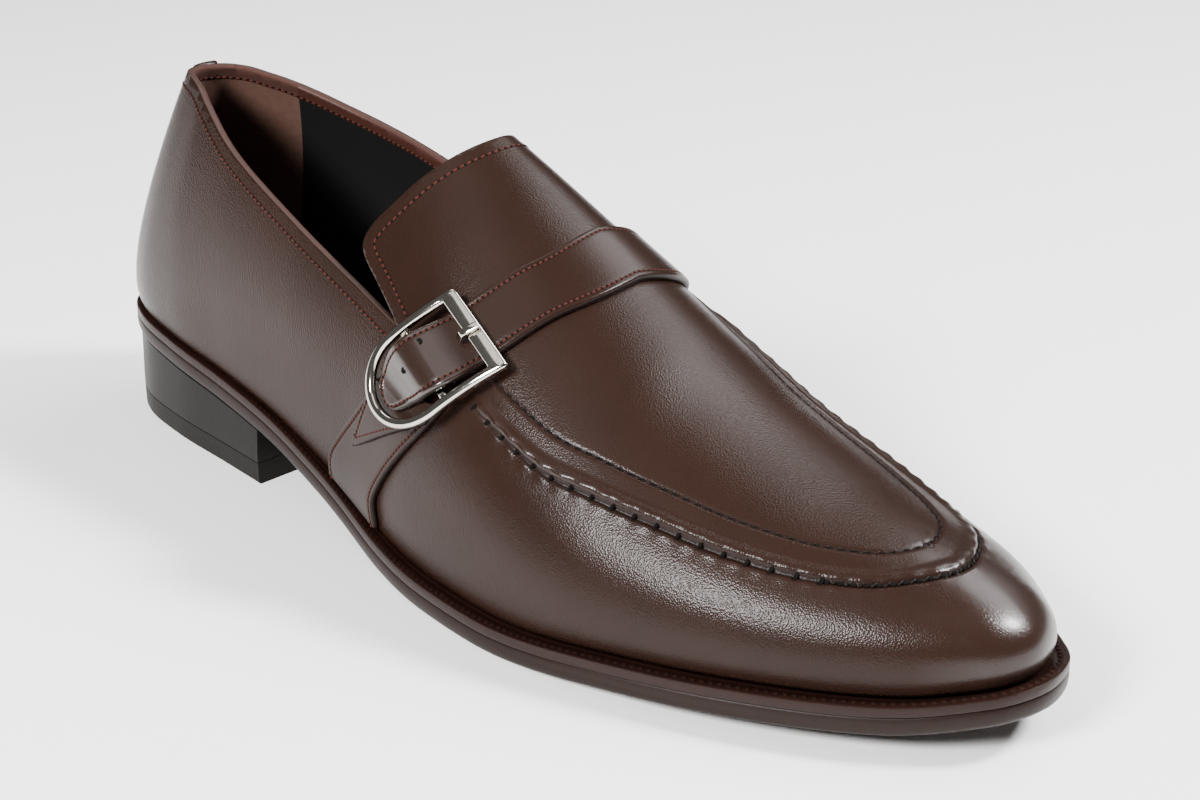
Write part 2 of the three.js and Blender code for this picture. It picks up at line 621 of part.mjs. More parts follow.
// Strip over the back seam, widening to the collar
function backStripGeometry() {
  const width = column(backStripRows, 'width', 'height');
  const halfAt = soleRows[1].at * backStripWidth / 2 / (soleRows[1].lateral * ballWidth);
  const from = backStripRows[0].height;
  const to = backStripRows[backStripRows.length - 1].height;
  const steps = 8;
  const rings = [];
  for (let i = 0; i <= steps; i += 1) {
    const height = from + (to - from) * i / steps;
    const up = upAtHeight(-1, 0, height * collarHeight);
    const half = halfAt * width(height);
    const across = [-1, -0.5, 0, 0.5, 1].map((share) => [share < 0 ? -1 : 1, Math.abs(share) * half]);
    rings.push([
      ...across.map(([side, at]) => wallPoint(side, at, up, pieceGap)),
      ...across.reverse().map(([side, at]) => wallPoint(side, at, up, pieceGap + backStripThickness)),
    ]);
  }
  return loft(rings, { capped: true });
}

// Foot on the last of a point off it, moved along a direction: three unknowns, solved by Newton steps
function landOn(point, direction, side, start) {
  let [at, up, away] = [start.at, start.up, 0];
  for (let i = 0; i < 12; i += 1) {
    const miss = lastPoint(side, at, up).sub(point.clone().addScaledVector(direction, away));
    const step = 1e-4;
    const byAt = lastPoint(side, at + step, up).sub(lastPoint(side, at, up)).divideScalar(step);
    const byUp = lastPoint(side, at, up + step).sub(lastPoint(side, at, up)).divideScalar(step);
    const system = new THREE.Matrix3().set(
      byAt.x, byUp.x, -direction.x, byAt.y, byUp.y, -direction.y, byAt.z, byUp.z, -direction.z);
    const change = miss.applyMatrix3(system.invert());
    at -= change.x;
    up -= change.y;
    away -= change.z;
  }
  return { at, up };
}

// The buckle's own frame on the outer side: along its bar, and down towards its round end
const buckleSide = -1;
const buckleUp = 1 - Math.abs(buckleAround);
const buckleOrigin = lastPoint(buckleSide, buckleAt, buckleUp);
const buckleNormal = lastNormal(buckleSide, buckleAt, buckleUp);
const buckleLevel = new THREE.Vector3(1, 0, 0).addScaledVector(buckleNormal, -buckleNormal.x).normalize();
const buckleBarAxis = buckleLevel.clone().applyAxisAngle(buckleNormal, THREE.MathUtils.degToRad(buckleTurn));
const buckleDownAxis = buckleBarAxis.clone().cross(buckleNormal).normalize()
  .applyAxisAngle(buckleNormal, THREE.MathUtils.degToRad(buckleLean));

// Place on the buckle: along its bar, down from the bar's outer edge, and height over its underside
function bucklePlace([along, down, height]) {
  const flat = buckleOrigin.clone()
    .addScaledVector(buckleBarAxis, along)
    .addScaledVector(buckleDownAxis, down - buckleDepth / 2);
  const foot = landOn(flat, buckleNormal, buckleSide, { at: buckleAt, up: buckleUp });
  const lift = buckleLift + buckleRise * down / buckleDepth + height;
  return wallPoint(buckleSide, foot.at, foot.up, lift);
}

// Outer and inner edge of the D: the bar, two straight legs and half an ellipse, as along and down
function buckleEdges() {
  const outer = buckleWidth / 2;
  const inner = outer - buckleWire;
  const legEnd = buckleDepth * buckleLegShare;
  const legSteps = [1, 2, 3].map((step) => step / 3);
  const leg = (hand, share) => [
    [hand * outer, legEnd * share],
    [hand * inner, THREE.MathUtils.lerp(buckleBarWidth, legEnd, share)],
  ];
  const list = [-1, -0.5, 0, 0.5, 1].map((share) => [[outer * share, 0], [inner * share, buckleBarWidth]]);
  legSteps.forEach((share) => list.push(leg(1, share)));
  const turns = 12;
  for (let i = 1; i < turns; i += 1) {
    const angle = Math.PI * i / turns;
    const [across, round] = [Math.cos(angle), Math.sin(angle)];
    list.push([
      [outer * across, legEnd + (buckleDepth - legEnd) * round],
      [inner * across, legEnd + (buckleDepth - buckleWire - legEnd) * round],
    ]);
  }
  legSteps.reverse().forEach((share) => list.push(leg(-1, share)));
  return list;
}

// Section of the wire: shares across it and of its height, with soft edges
const wireSection = [
  [0, 0.22], [0, 0.78], [0.2, 1], [0.8, 1], [1, 0.78], [1, 0.22], [0.8, 0], [0.2, 0],
];

// Ring of the wire between two edge places
function wireRing(from, to, low, thickness) {
  return wireSection.map(([across, height]) => bucklePlace([
    THREE.MathUtils.lerp(from[0], to[0], across),
    THREE.MathUtils.lerp(from[1], to[1], across),
    low + thickness * height,
  ]));
}

function buckleFrameGeometry() {
  const rings = buckleEdges().map(([from, to]) => wireRing(from, to, 0, buckleThickness));
  const frame = loft(rings, { closedAlong: true });
  const reach = (buckleWidth - buckleWire) / 2;
  const near = buckleDepth * centreBarShare - centreBarWidth / 2;
  const far = near + centreBarWidth;
  const low = -buckleRise * centreBarShare;
  const centre = loft([-1, -0.5, 0, 0.5, 1].map((share) => wireRing(
    [reach * share, near], [reach * share, far], low, centreBarThickness,
  )), { capped: true });
  return toGeometry(toManifold(frame).add(toManifold(centre)));
}

// Tip of the prong, bent over the bar: a row is down from the bar's outer edge and height over the frame
function prongGeometry() {
  const inside = buckleBarWidth + pieceGap;
  const path = [
    [inside + 2.2, -1.9],
    [inside + 1.4, -0.9],
    [inside + 0.2, pieceGap],
    [buckleBarWidth / 2, pieceGap],
    [0.2, pieceGap],
  ];
  return loft(path.map(([down, over]) => wireRing(
    [-prongWidth / 2, down], [prongWidth / 2, down], buckleThickness + over, prongThickness,
  )), { capped: true });
}

// Materials, one to each piece
const leather = (color) => new THREE.MeshStandardMaterial({ color, roughness: 0.42, metalness: 0 });
const nickel = () => new THREE.MeshStandardMaterial({ color: '#cfc8bb', roughness: 0.18, metalness: 1 });
const rubber = (color) => new THREE.MeshStandardMaterial({ color, roughness: 0.7, metalness: 0 });

const group = new THREE.Group();

function addPiece(name, geometry, material) {
  const mesh = new THREE.Mesh(geometry, material);
  mesh.name = name;
  group.add(mesh);
}

addPiece('heel_top_piece', heelTopPiece, rubber('#262422'));
addPiece('heel_block', heelBlock, rubber('#2d2b29'));
addPiece('outsole', outsole, rubber('#3a2d2a'));
addPiece('welt', welt, leather('#4a2b20'));
addPiece('insole', insole, leather('#1c1a1b'));
addPiece('upper', upperGeometry(), leather('#3f2c25'));
addPiece('saddle_strap', overlay(strapRows, 5, 2, 0, strapThickness), leather('#3f2c25'));
addPiece('lateral_saddle', overlay(panelRows, 4, 2, 0, panelThickness), leather('#3f2c25'));
addPiece('buckle_tab', overlay(tabRows, 4, 1, pieceGap + panelThickness, tabThickness), leather('#3f2c25'));
addPiece('back_strip', backStripGeometry(), leather('#3f2c25'));
addPiece('buckle_frame', buckleFrameGeometry(), nickel());
addPiece('buckle_prong', prongGeometry(), nickel());

export default group;
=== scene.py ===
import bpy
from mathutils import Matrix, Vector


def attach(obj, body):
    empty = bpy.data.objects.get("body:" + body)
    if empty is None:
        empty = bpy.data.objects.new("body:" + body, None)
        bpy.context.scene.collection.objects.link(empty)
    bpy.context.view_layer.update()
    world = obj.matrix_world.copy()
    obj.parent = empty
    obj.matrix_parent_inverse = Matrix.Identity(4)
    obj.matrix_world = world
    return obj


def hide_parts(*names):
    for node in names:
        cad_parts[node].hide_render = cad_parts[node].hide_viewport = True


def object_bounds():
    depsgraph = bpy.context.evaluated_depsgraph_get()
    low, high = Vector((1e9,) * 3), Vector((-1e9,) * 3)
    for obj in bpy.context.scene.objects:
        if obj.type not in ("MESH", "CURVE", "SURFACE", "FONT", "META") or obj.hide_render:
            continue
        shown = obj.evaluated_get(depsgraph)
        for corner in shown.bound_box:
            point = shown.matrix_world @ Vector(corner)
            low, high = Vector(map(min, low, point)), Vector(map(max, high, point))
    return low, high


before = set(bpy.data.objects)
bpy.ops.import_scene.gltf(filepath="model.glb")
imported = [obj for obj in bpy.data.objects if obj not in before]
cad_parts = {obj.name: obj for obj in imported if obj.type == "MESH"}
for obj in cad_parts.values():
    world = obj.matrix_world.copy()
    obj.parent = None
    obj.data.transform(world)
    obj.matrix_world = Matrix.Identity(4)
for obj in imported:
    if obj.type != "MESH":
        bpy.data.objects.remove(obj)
CAD_BOX = [list(corner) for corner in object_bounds()]

import math

import bpy
import numpy as np
from mathutils import Vector

bl_info = {
    "name": "Monk Strap Shoe",
    "version": (1, 0, 0),
    "blender": (4, 5, 0),
    "location": "View3D > Sidebar > Shoe",
    "description": "Makes a leather monk strap shoe for the right foot on its frame of solids",
    "category": "Object",
}

MM = 0.001
LENGTH = CAD_BOX[1][0] - CAD_BOX[0][0]

# The photograph's frame in pixels, the one shoe's middle in it, and how much closer the camera looks
PHOTO_SIZE = (1200, 800)
PHOTO_FOCAL = 1545.75
SHOE_IN_PHOTO = (520, 436)
CLOSER = 1.5
SENSOR_WIDTH = 36

# The photograph's viewpoint: angles in degrees, then the point looked at and the distance from it in metres
VIEW_AZIMUTH = 41.04
VIEW_ELEVATION = 22.05
VIEW_TARGET = (-0.1056, 0.1907, -0.0338)
VIEW_DISTANCE = 0.8001

# Soft lights: name, place, what it is turned to, width and height in metres, and power in watts
LIGHTS = (
    ("side softbox", (0.1, -1.08, 0.78), (0.06, 0, 0.04), 0.42, 0.3, 50),
    ("toe lamp", (0.7, 0.55, 0.97), (0.13, 0, 0.03), 0.24, 0.24, 38),
    ("heel softbox", (-0.75, 0.3, 1.0), (-0.05, 0, 0.03), 0.5, 0.5, 3),
    ("rear softbox", (0.22, 0.9, 1.15), (0, 0, 0.05), 1.0, 0.6, 18),
    ("overhead card", (-0.1, -0.45, 1.2), (0.02, -0.03, 0.07), 0.9, 0.7, 3),
)
ROOM_LIGHT = 0.13
FLOOR_REACH = 4000

# Tables of the last, in shares of the shoe's own sizes. "at" runs from the heel to the toe
SOLE_EDGE = {
    "at": (0, 0.016, 0.05, 0.115, 0.2, 0.3, 0.4, 0.5, 0.6, 0.675, 0.74, 0.805, 0.87, 0.93, 0.967, 0.99, 1),
    "lateral": (0, 0.182, 0.25, 0.295, 0.321, 0.356, 0.412, 0.488, 0.53, 0.526, 0.49, 0.433, 0.353, 0.254,
                0.17, 0.096, -0.005),
    "medial": (0, 0.168, 0.255, 0.318, 0.327, 0.304, 0.284, 0.328, 0.406, 0.46, 0.474, 0.45, 0.382, 0.29,
               0.2, 0.12, 0.005),
}
UNDERSIDE = {
    "at": (0, 0.115, 0.25, 0.36, 0.46, 0.53, 0.6, 0.72, 0.82, 0.92, 1),
    "heel": (1, 0.88, 0.67, 0.37, 0.066, 0, 0, 0, 0, 0, 0),
    "toe": (0, 0, 0, 0, 0, 0, 0, 0.23, 0.38, 0.55, 1),
    "reach": (0.41, 0.41, 0.45, 0.6, 0.77, 0.85, 0.9, 0.95, 0.98, 1, 1),
}
CROWN = {
    "at": (0, 0.05, 0.115, 0.2, 0.3, 0.4, 0.5, 0.6, 0.675, 0.74, 0.805, 0.87, 0.93, 1),
    "place": (0.105, 0.12, 0.152, 0.215, 0.295, 0.385, 0.47, 0.56, 0.645, 0.7, 0.765, 0.82, 0.86, 0.885),
    "side": (0, 0, 0, 0, 0.01, 0.02, 0.025, 0.03, 0.027, 0.02, 0.01, 0.003, 0, 0),
    "height": (1.22, 1.22, 1.22, 1.22, 1.18, 1.09, 0.97, 0.81, 0.66, 0.555, 0.475, 0.425, 0.4, 0.385),
    "sweep": (1, 1, 1, 0.7, 0.35, 0.35, 0.35, 0.35, 0.35, 0.35, 0.4, 0.7, 1, 1),
}
SIDES = {
    "at": (0, 0.05, 0.115, 0.2, 0.3, 0.4, 0.5, 0.6, 0.675, 0.74, 0.805, 0.87, 0.93, 1),
    "rise_l": (0.15, 0.15, 0.23, 0.38, 0.42, 0.45, 0.5, 0.52, 0.55, 0.58, 0.6, 0.62, 0.64, 0.66),
    "rise_m": (0.15, 0.15, 0.23, 0.39, 0.44, 0.52, 0.57, 0.57, 0.53, 0.5, 0.53, 0.58, 0.63, 0.66),
    "full_l": (1.34, 1.34, 1.29, 1.2, 1.15, 1, 1, 1, 1, 1, 1, 1, 1, 1),
    "full_m": (1.34, 1.34, 1.29, 1.33, 1.5, 1.65, 1.5, 1.1, 0.75, 0.67, 0.67, 0.83, 0.92, 1),
    "brow_l": (0.16, 0.21, 0.36, 0.48, 0.53, 0.5, 0.48, 0.48, 0.5, 0.52, 0.54, 0.55, 0.55, 0.55),
    "brow_m": (0.16, 0.21, 0.37, 0.52, 0.55, 0.53, 0.51, 0.49, 0.46, 0.46, 0.48, 0.51, 0.53, 0.55),
}
APRON_SEAM = {
    "at": (0, 0.56, 0.6, 0.64, 0.69, 0.75, 0.81, 0.86, 0.9, 0.94, 1),
    "lateral": (0.46, 0.41, 0.4, 0.395, 0.42, 0.45, 0.475, 0.505, 0.55, 0.64, 0.78),
    "medial": (0.46, 0.55, 0.55, 0.54, 0.53, 0.51, 0.5, 0.51, 0.55, 0.64, 0.78),
    "raised_l": (0, 0, 0.8, 1, 1, 1, 1, 1, 1, 1, 1),
    "raised_m": (0, 0, 0, 1, 1, 1, 1, 1, 1, 1, 1),
    "bold": (1.15, 1.15, 1.15, 1.15, 1.1, 1.05, 0.95, 0.7, 0.5, 0.42, 0.4),
}

# Edge of the opening seen from the side, collar then tongue: place in shoe lengths, height in collar heights
COLLAR_EDGE = {
    "lateral": ((-0.05, 1.01), (0.06, 1.01), (0.1, 1), (0.135, 0.965), (0.19, 0.896), (0.28, 0.8),
                (0.36, 0.718), (0.42, 0.664), (0.456, 0.638)),
    "medial": ((-0.05, 1), (0.06, 0.99), (0.1, 0.965), (0.135, 0.93), (0.19, 0.878), (0.28, 0.825),
               (0.36, 0.77), (0.42, 0.715), (0.456, 0.68)),
}
TONGUE_EDGE = {
    "lateral": ((0.456, 0.638), (0.42, 0.708), (0.396, 0.755), (0.388, 0.79), (0.392, 0.835), (0.404, 0.885),
                (0.423, 0.965), (0.444, 1.033), (0.48, 1.11)),
    "medial": ((0.456, 0.68), (0.42, 0.745), (0.4, 0.775), (0.394, 0.81), (0.398, 0.85), (0.408, 0.895),
               (0.423, 0.965), (0.444, 1.033), (0.48, 1.11)),
}

# Leather laid on the last: a front and a rear edge, each as at and around, and a lift in strap thicknesses
STRAP = {
    "front": (0.443, 0.445, 0.468, 0.5, 0.537, 0.568, 0.594, 0.613, 0.626, 0.631, 0.63, 0.623, 0.609, 0.595,
              0.583, 0.572, 0.561, 0.552, 0.541, 0.529, 0.519, 0.511, 0.504, 0.497),
    "front_around": (0.985, 0.93, 0.86, 0.76, 0.66, 0.56, 0.45, 0.33, 0.2, 0.06, -0.08, -0.19, -0.3, -0.39,
                     -0.455, -0.505, -0.555, -0.59, -0.62, -0.647, -0.665, -0.682, -0.694, -0.702),
    "rear": (0.363, 0.368, 0.388, 0.425, 0.465, 0.505, 0.54, 0.563, 0.578, 0.584, 0.583, 0.576, 0.563, 0.55,
             0.538, 0.526, 0.512, 0.5, 0.491, 0.482, 0.477, 0.475, 0.479, 0.486),
    "rear_around": (0.985, 0.93, 0.86, 0.76, 0.66, 0.56, 0.44, 0.31, 0.18, 0.05, -0.08, -0.19, -0.28, -0.36,
                    -0.42, -0.47, -0.52, -0.56, -0.59, -0.62, -0.648, -0.672, -0.69, -0.7),
    "lift": (0, 0, 0, 0, 0, 0.1, 0.1, 0, 0, 0, 0, 0, 0, 0.05, 0.15, 0.4, 1.6, 2.8, 2.9, 2.3, 1.9, 1.85,
             1.85, 1.85),
}
SADDLE = {
    "front": (0.449, 0.45, 0.467, 0.495, 0.523, 0.543, 0.555),
    "front_around": (-0.985, -0.93, -0.87, -0.79, -0.71, -0.64, -0.58),
    "rear": (0.373, 0.378, 0.396, 0.423, 0.448, 0.467, 0.478),
    "rear_around": (-0.985, -0.93, -0.87, -0.79, -0.71, -0.64, -0.58),
    "lift": (0, 0, 0, 0, 0, 0, 0),
}
TAB = {
    "front": (0.53, 0.532, 0.534, 0.536),
    "front_around": (-0.69, -0.675, -0.66, -0.645),
    "rear": (0.427, 0.436, 0.445, 0.455),
    "rear_around": (-0.85, -0.8, -0.75, -0.69),
    "lift": (0, 0, 0, 0),
}
BACK_STRIP = {"height": (0.63, 0.71, 0.8, 0.915), "width": (0.3, 0.5, 0.8, 1)}
BACK_STRIP_TOP = 0.986
HEEL_BREAST = 0.252
WELT_WIDTH = 14
WIRE_CORNERS = 16


def millimetres(name, description, default):
    """A length property, in metres, from a default in millimetres."""
    return bpy.props.FloatProperty(name=name, description=description, default=default * MM,
                                   unit="LENGTH", subtype="DISTANCE", precision=5)


def colour(name, description, default):
    """An sRGB colour property as a hex value."""
    return bpy.props.StringProperty(name=name, description=description, default=default)


class ShoeSizes(bpy.types.PropertyGroup):
    """Sizes that shape the last and its sole."""
    shoe_length: millimetres("Shoe Length", "Length of the outsole", LENGTH / MM)
    ball_width: millimetres("Ball Width", "Width of the outsole at the ball", 102)
    instep_height: millimetres("Instep Height", "Size that the crown of the last follows", 100)
    collar_height: millimetres("Collar Height", "Height of the collar at the back", 98)
    heel_height: millimetres("Heel Height", "Height of the heel at the back", 24.4)
    toe_spring: millimetres("Toe Spring", "Height of the sole's underside at the toe", 10.5)
    side_fullness: millimetres("Side Fullness", "Swell of the sides over the welt", 6)
    outsole_thickness: millimetres("Outsole Thickness", "Thickness of the outsole", 4.6)
    welt_thickness: millimetres("Welt Thickness", "Thickness of the welt", 2.4)
    welt_reach: millimetres("Welt Reach", "How far the welt stands out at the toe", 4.4)
    insole_thickness: millimetres("Insole Thickness", "Thickness of the insole and sock", 2.5)
    top_piece: millimetres("Top Piece", "Thickness of the heel's rubber top piece", 6)
    gap: millimetres("Gap", "Gap between the glued pieces", 0.3)


class LeatherSizes(bpy.types.PropertyGroup):
    """Thicknesses of the leather and the form of the apron's seam."""
    wall: millimetres("Wall", "Thickness of the upper with its lining", 2.2)
    strap: millimetres("Strap", "Thickness of the saddle strap", 1.8)
    panel: millimetres("Panel", "Thickness of the saddle panels", 1.4)
    tab: millimetres("Tab", "Thickness of the buckle's tab", 1.2)
    back_strip: millimetres("Back Strip", "Thickness of the strip over the back seam", 1)
    back_strip_width: millimetres("Back Strip Width", "Width of that strip at the collar", 15)
    seam_width: millimetres("Seam Width", "Width of the band between the apron's two seams", 7.6)
    seam_height: millimetres("Seam Height", "Height of the pinched lip of the outer seam", 1.5)
    pucker: millimetres("Pucker", "Depth of the ripples that the hand stitches pull", 0.55)


class StitchSizes(bpy.types.PropertyGroup):
    """Sizes of the stitches."""
    pitch: millimetres("Pitch", "Spacing of the machine stitches", 1.9)
    thread: millimetres("Thread", "Width of the machine thread", 0.55)
    hand_pitch: millimetres("Hand Pitch", "Spacing of the apron's hand stitches", 5.6)
    hand_thread: millimetres("Hand Thread", "Width of the hand thread", 0.9)
    welt_pitch: millimetres("Welt Pitch", "Spacing of the stitches on the welt", 2.1)


class BuckleSizes(bpy.types.PropertyGroup):
    """Sizes and place of the buckle."""
    width: millimetres("Width", "Width of the D along its bar", 25.9)
    depth: millimetres("Depth", "Depth of the D from its bar to its round end", 32.6)
    wire: millimetres("Wire", "Width of the wire", 2.4)
    bar: millimetres("Bar", "Width of the bar", 3.6)
    thickness: millimetres("Thickness", "Thickness of the wire", 2.2)
    lift: millimetres("Lift", "Height of the bar over the last", 2.8)
    rise: millimetres("Rise", "How much more the round end stands off", 2.4)


class ShoeColours(bpy.types.PropertyGroup):
    """Colours, as sRGB hex values."""
    leather: colour("Leather", "Upper leather", "#21140f")
    # Dark leather: the darker patches of the leather's uneven tone, and painted shade in the seams' grooves,
    # along the laid pieces' edges and under them
    leather_mottle_and_shade: colour("Dark Leather", "Burnished places of the leather", "#150c09")
    raw_edge: colour("Raw Edge", "Cut edge of the leather", "#2b1811")
    lining: colour("Lining", "Leather of the quarter lining", "#0b0b0c")
    facing: colour("Facing", "Band along the top inside", "#351c15")
    suede: colour("Suede", "Suede of the heel lining", "#4c342b")
    thread: colour("Thread", "Machine thread", "#43201a")
    hand_thread: colour("Hand Thread", "Waxed thread of the hand seam", "#24160e")
    dark_thread: colour("Dark Thread", "Waxed thread round the toe and of the inner seam", "#0f0a08")
    hole: colour("Hole", "Shadow in a stitch hole", "#070504")
    welt: colour("Welt", "Stained welt", "#1c0e0a")
    sole: colour("Sole Edge", "Inked edge of the sole", "#190e0a")
    heel: colour("Heel", "Heel", "#0f0c0a")
    nickel: colour("Nickel", "Polished nickel of the buckle", "#d8d3ca")
    nickel_dark: colour("Dark Nickel", "Handling marks on the nickel", "#b9b1a5")
    floor: colour("Floor", "Pale floor", "#f6f5f4")


GROUPS = {
    "shoe": ShoeSizes,
    "shoe_leather": LeatherSizes,
    "shoe_stitches": StitchSizes,
    "shoe_buckle": BuckleSizes,
    "shoe_colours": ShoeColours,
}


def settings(name):
    """One of the scene's groups of properties."""
    return getattr(bpy.context.scene, name)


def hermite(t, a, b, lean_a, lean_b):
    """Cubic from a to b with the given leans at its ends."""
    t2, t3 = t * t, t * t * t
    return (2 * t3 - 3 * t2 + 1) * a + (t3 - 2 * t2 + t) * lean_a + (3 * t2 - 2 * t3) * b + (t3 - t2) * lean_b


def smooth_column(keys, values):
    """Smooth curve through a table's column, level between equal rows and never past a row."""
    keys, values = np.asarray(keys, float), np.asarray(values, float)
    step = np.diff(keys)
    slope = np.diff(values) / step
    lean = np.concatenate([slope[:1], np.zeros(len(keys) - 2), slope[-1:]])
    before, after = slope[:-1], slope[1:]
    total = np.where(before + after == 0, 1, before + after)
    lean[1:-1] = np.where(before * after <= 0, 0, 2 * before * after / total)

    def value(x):
        x = np.clip(x, keys[0], keys[-1])
        i = np.clip(np.searchsorted(keys, x, side="right") - 1, 0, len(keys) - 2)
        run = step[i]
        return hermite((x - keys[i]) / run, values[i], values[i + 1], lean[i] * run, lean[i + 1] * run)

    return value


def columns(table):
    """Smooth curves through a table's columns, by its stations."""
    return {name: smooth_column(table["at"], values) for name, values in table.items() if name != "at"}


def unit(vectors):
    """Vectors of length one."""
    return vectors / np.maximum(np.linalg.norm(vectors, axis=-1, keepdims=True), 1e-12)


def turned(vector, axis, angle):
    """A vector turned about an axis by an angle in degrees."""
    a = math.radians(angle)
    kept = axis * np.dot(axis, vector)
    return kept + (vector - kept) * math.cos(a) + np.cross(axis, vector) * math.sin(a)


class Last:
    """The shoe's surface, in millimetres. A place is at, a share of the length, and around, from -1 at
    the outer welt over the crown at 0 to 1 at the inner welt."""

    def __init__(self):
        sizes = settings("shoe")
        self.length = sizes.shoe_length / MM
        self.ball = sizes.ball_width / MM
        self.instep = sizes.instep_height / MM
        self.collar = sizes.collar_height / MM
        self.heel = sizes.heel_height / MM
        self.spring = sizes.toe_spring / MM
        self.fullness = sizes.side_fullness / MM
        self.outsole = sizes.outsole_thickness / MM
        self.welt = sizes.welt_thickness / MM
        self.reach = sizes.welt_reach / MM
        self.gap = sizes.gap / MM
        self.shift = 0.029 * self.ball
        rows = len(SOLE_EDGE["at"])
        along = [self.x(at) for at in SOLE_EDGE["at"]]
        outer = [(along[i], self.shift - SOLE_EDGE["lateral"][i] * self.ball) for i in range(rows)]
        inner = [(along[i], self.shift + SOLE_EDGE["medial"][i] * self.ball) for i in range(rows - 2, 0, -1)]
        self.loop = np.array(outer + inner)
        ahead = np.roll(self.loop, -1, axis=0) - self.loop
        self.knots = np.sqrt(np.linalg.norm(ahead, axis=1))
        on = ahead / self.knots[:, None]
        back, before = np.roll(on, 1, axis=0), np.roll(self.knots, 1)
        weight = (self.knots + before)[:, None]
        self.lean = back * self.knots[:, None] / weight + on * before[:, None] / weight
        self.row_of = smooth_column(SOLE_EDGE["at"], range(rows))
        self.under = columns(UNDERSIDE)
        self.crown_row = columns(CROWN)
        self.side_row = columns(SIDES)
        self.seam = columns(APRON_SEAM)
        self.known_lengths = {}

    def x(self, at):
        return (at - 0.5) * self.length

    def loop_point(self, place):
        count = len(self.loop)
        u = np.mod(place, count)
        i = np.floor(u).astype(int) % count
        j = (i + 1) % count
        knots = self.knots[i][..., None]
        return hermite((u - np.floor(u))[..., None], self.loop[i], self.loop[j], self.lean[i] * knots,
                       self.lean[j] * knots)

    def edge_point(self, side, at, inset):
        """Point of the sole's edge moved inwards, and its outward direction."""
        row = self.row_of(at)
        place = np.where(side < 0, row, len(self.loop) - row)
        step = 0.001
        along = unit(self.loop_point(place + step) - self.loop_point(place - step))
        outward = np.stack([along[..., 1], -along[..., 0]], -1)
        return self.loop_point(place) - outward * np.asarray(inset)[..., None], outward

    def underside(self, x):
        at = x / self.length + 0.5
        return self.heel * self.under["heel"](at) + self.spring * self.under["toe"](at)

    def outsole_top(self, x):
        return self.underside(x) + self.outsole

    def welt_top(self, x):
        return self.outsole_top(x) + self.gap + self.welt

    def crown_point(self, at):
        row = self.crown_row
        return np.stack([self.x(row["place"](at)), self.shift + row["side"](at) * self.ball,
                         row["height"](at) * self.instep], -1)

    def crown_slope(self, at):
        step = 0.002
        change = self.crown_point(np.minimum(at + step, 1)) - self.crown_point(np.maximum(at - step, 0))
        return np.clip(change[..., 2] / np.maximum(change[..., 0], 1e-6), -0.9, 0.9)

    def section(self, side, at):
        """Foot, lower and upper handle and crown of the section's cubic."""
        rim, outward = self.edge_point(side, at, self.reach * self.under["reach"](at))
        foot = np.stack([rim[..., 0], rim[..., 1], self.welt_top(rim[..., 0]) + self.gap], -1)
        crown = self.crown_point(at)
        rise, full, brow = (np.where(side < 0, self.side_row[name + "_l"](at), self.side_row[name + "_m"](at))
                            for name in ("rise", "full", "brow"))
        low = foot.copy()
        low[..., :2] += outward * (full * self.fullness)[..., None]
        low[..., 2] += (crown[..., 2] - foot[..., 2]) * rise
        reach = (foot - crown) * brow[..., None]
        reach[..., 0] *= self.crown_row["sweep"](at)
        high = crown + reach
        high[..., 2] = crown[..., 2] + reach[..., 0] * self.crown_slope(at)
        return foot, low, high, crown

    def point(self, side, at, up):
        foot, low, high, crown = self.section(side, at)
        up = np.asarray(up)[..., None]
        down = 1 - up
        return foot * down ** 3 + low * 3 * down * down * up + high * 3 * down * up * up + crown * up ** 3

    def normal(self, side, at, up):
        step = 0.001
        ends = (at <= 0) | (at >= 1)
        hand = np.where(ends, -1, side)
        ahead, behind = (self.point(hand, np.clip(at + s, 0, 1), up) for s in (step, -step))
        above, below = (self.point(hand, at, np.clip(up + s, 0, 1)) for s in (step, -step))
        along, rise = ahead - behind, above - below
        normal = np.cross(along, rise) * -hand[..., None]
        normal[..., 1] = np.where(ends, 0, normal[..., 1])
        slope = self.crown_slope(at)
        top = np.stack([-slope, np.zeros_like(slope), np.ones_like(slope)], -1)
        return unit(np.where((up > 0.9999)[..., None], top, normal))

    def place(self, at, around, lift=0.0):
        """Point and outward normal at a place, moved out by a lift."""
        at, around = np.broadcast_arrays(np.asarray(at, float), np.asarray(around, float))
        side = np.where(around < 0, -1, 1)
        up = 1 - np.abs(around)
        normal = self.normal(side, at, up)
        return self.point(side, at, up) + normal * np.asarray(lift)[..., None], normal

    def seam_row(self, side, at):
        """Where the apron's outer seam starts on the section, its width there, and how far it is raised."""
        foot, _, _, crown = self.section(side, at)
        start = np.where(side < 0, self.seam["lateral"](at), self.seam["medial"](at))
        span = np.linalg.norm(crown - foot, axis=-1)
        width = np.minimum(settings("shoe_leather").seam_width / MM / span, 0.9 * (0.98 - start))
        raised = np.where(side < 0, self.seam["raised_l"](at), self.seam["raised_m"](at))
        return start, width, raised

    def land(self, points, direction, at, around):
        """Places whose surface points lie under the given points along a direction, by Newton steps."""
        count = len(points)
        at, around, away = np.full(count, float(at)), np.full(count, float(around)), np.zeros(count)
        step = 1e-4
        for _ in range(12):
            here = self.place(at, around)[0]
            miss = here - points - direction * away[:, None]
            by_at = (self.place(at + step, around)[0] - here) / step
            by_around = (self.place(at, around + step)[0] - here) / step
            system = np.stack([by_at, by_around, np.broadcast_to(-direction, by_at.shape)], -1)
            change = np.linalg.solve(system, miss[..., None])[..., 0]
            at, around, away = at - change[:, 0], around - change[:, 1], away - change[:, 2]
        return at, around

    def at_height(self, side, at, height):
        """Around at which a section has a given height."""
        low, high = np.zeros_like(at), np.ones_like(at)
        for _ in range(30):
            middle = (low + high) / 2
            under = self.point(side, at, middle)[..., 2] < height
            low, high = np.where(under, middle, low), np.where(under, high, middle)
        return low


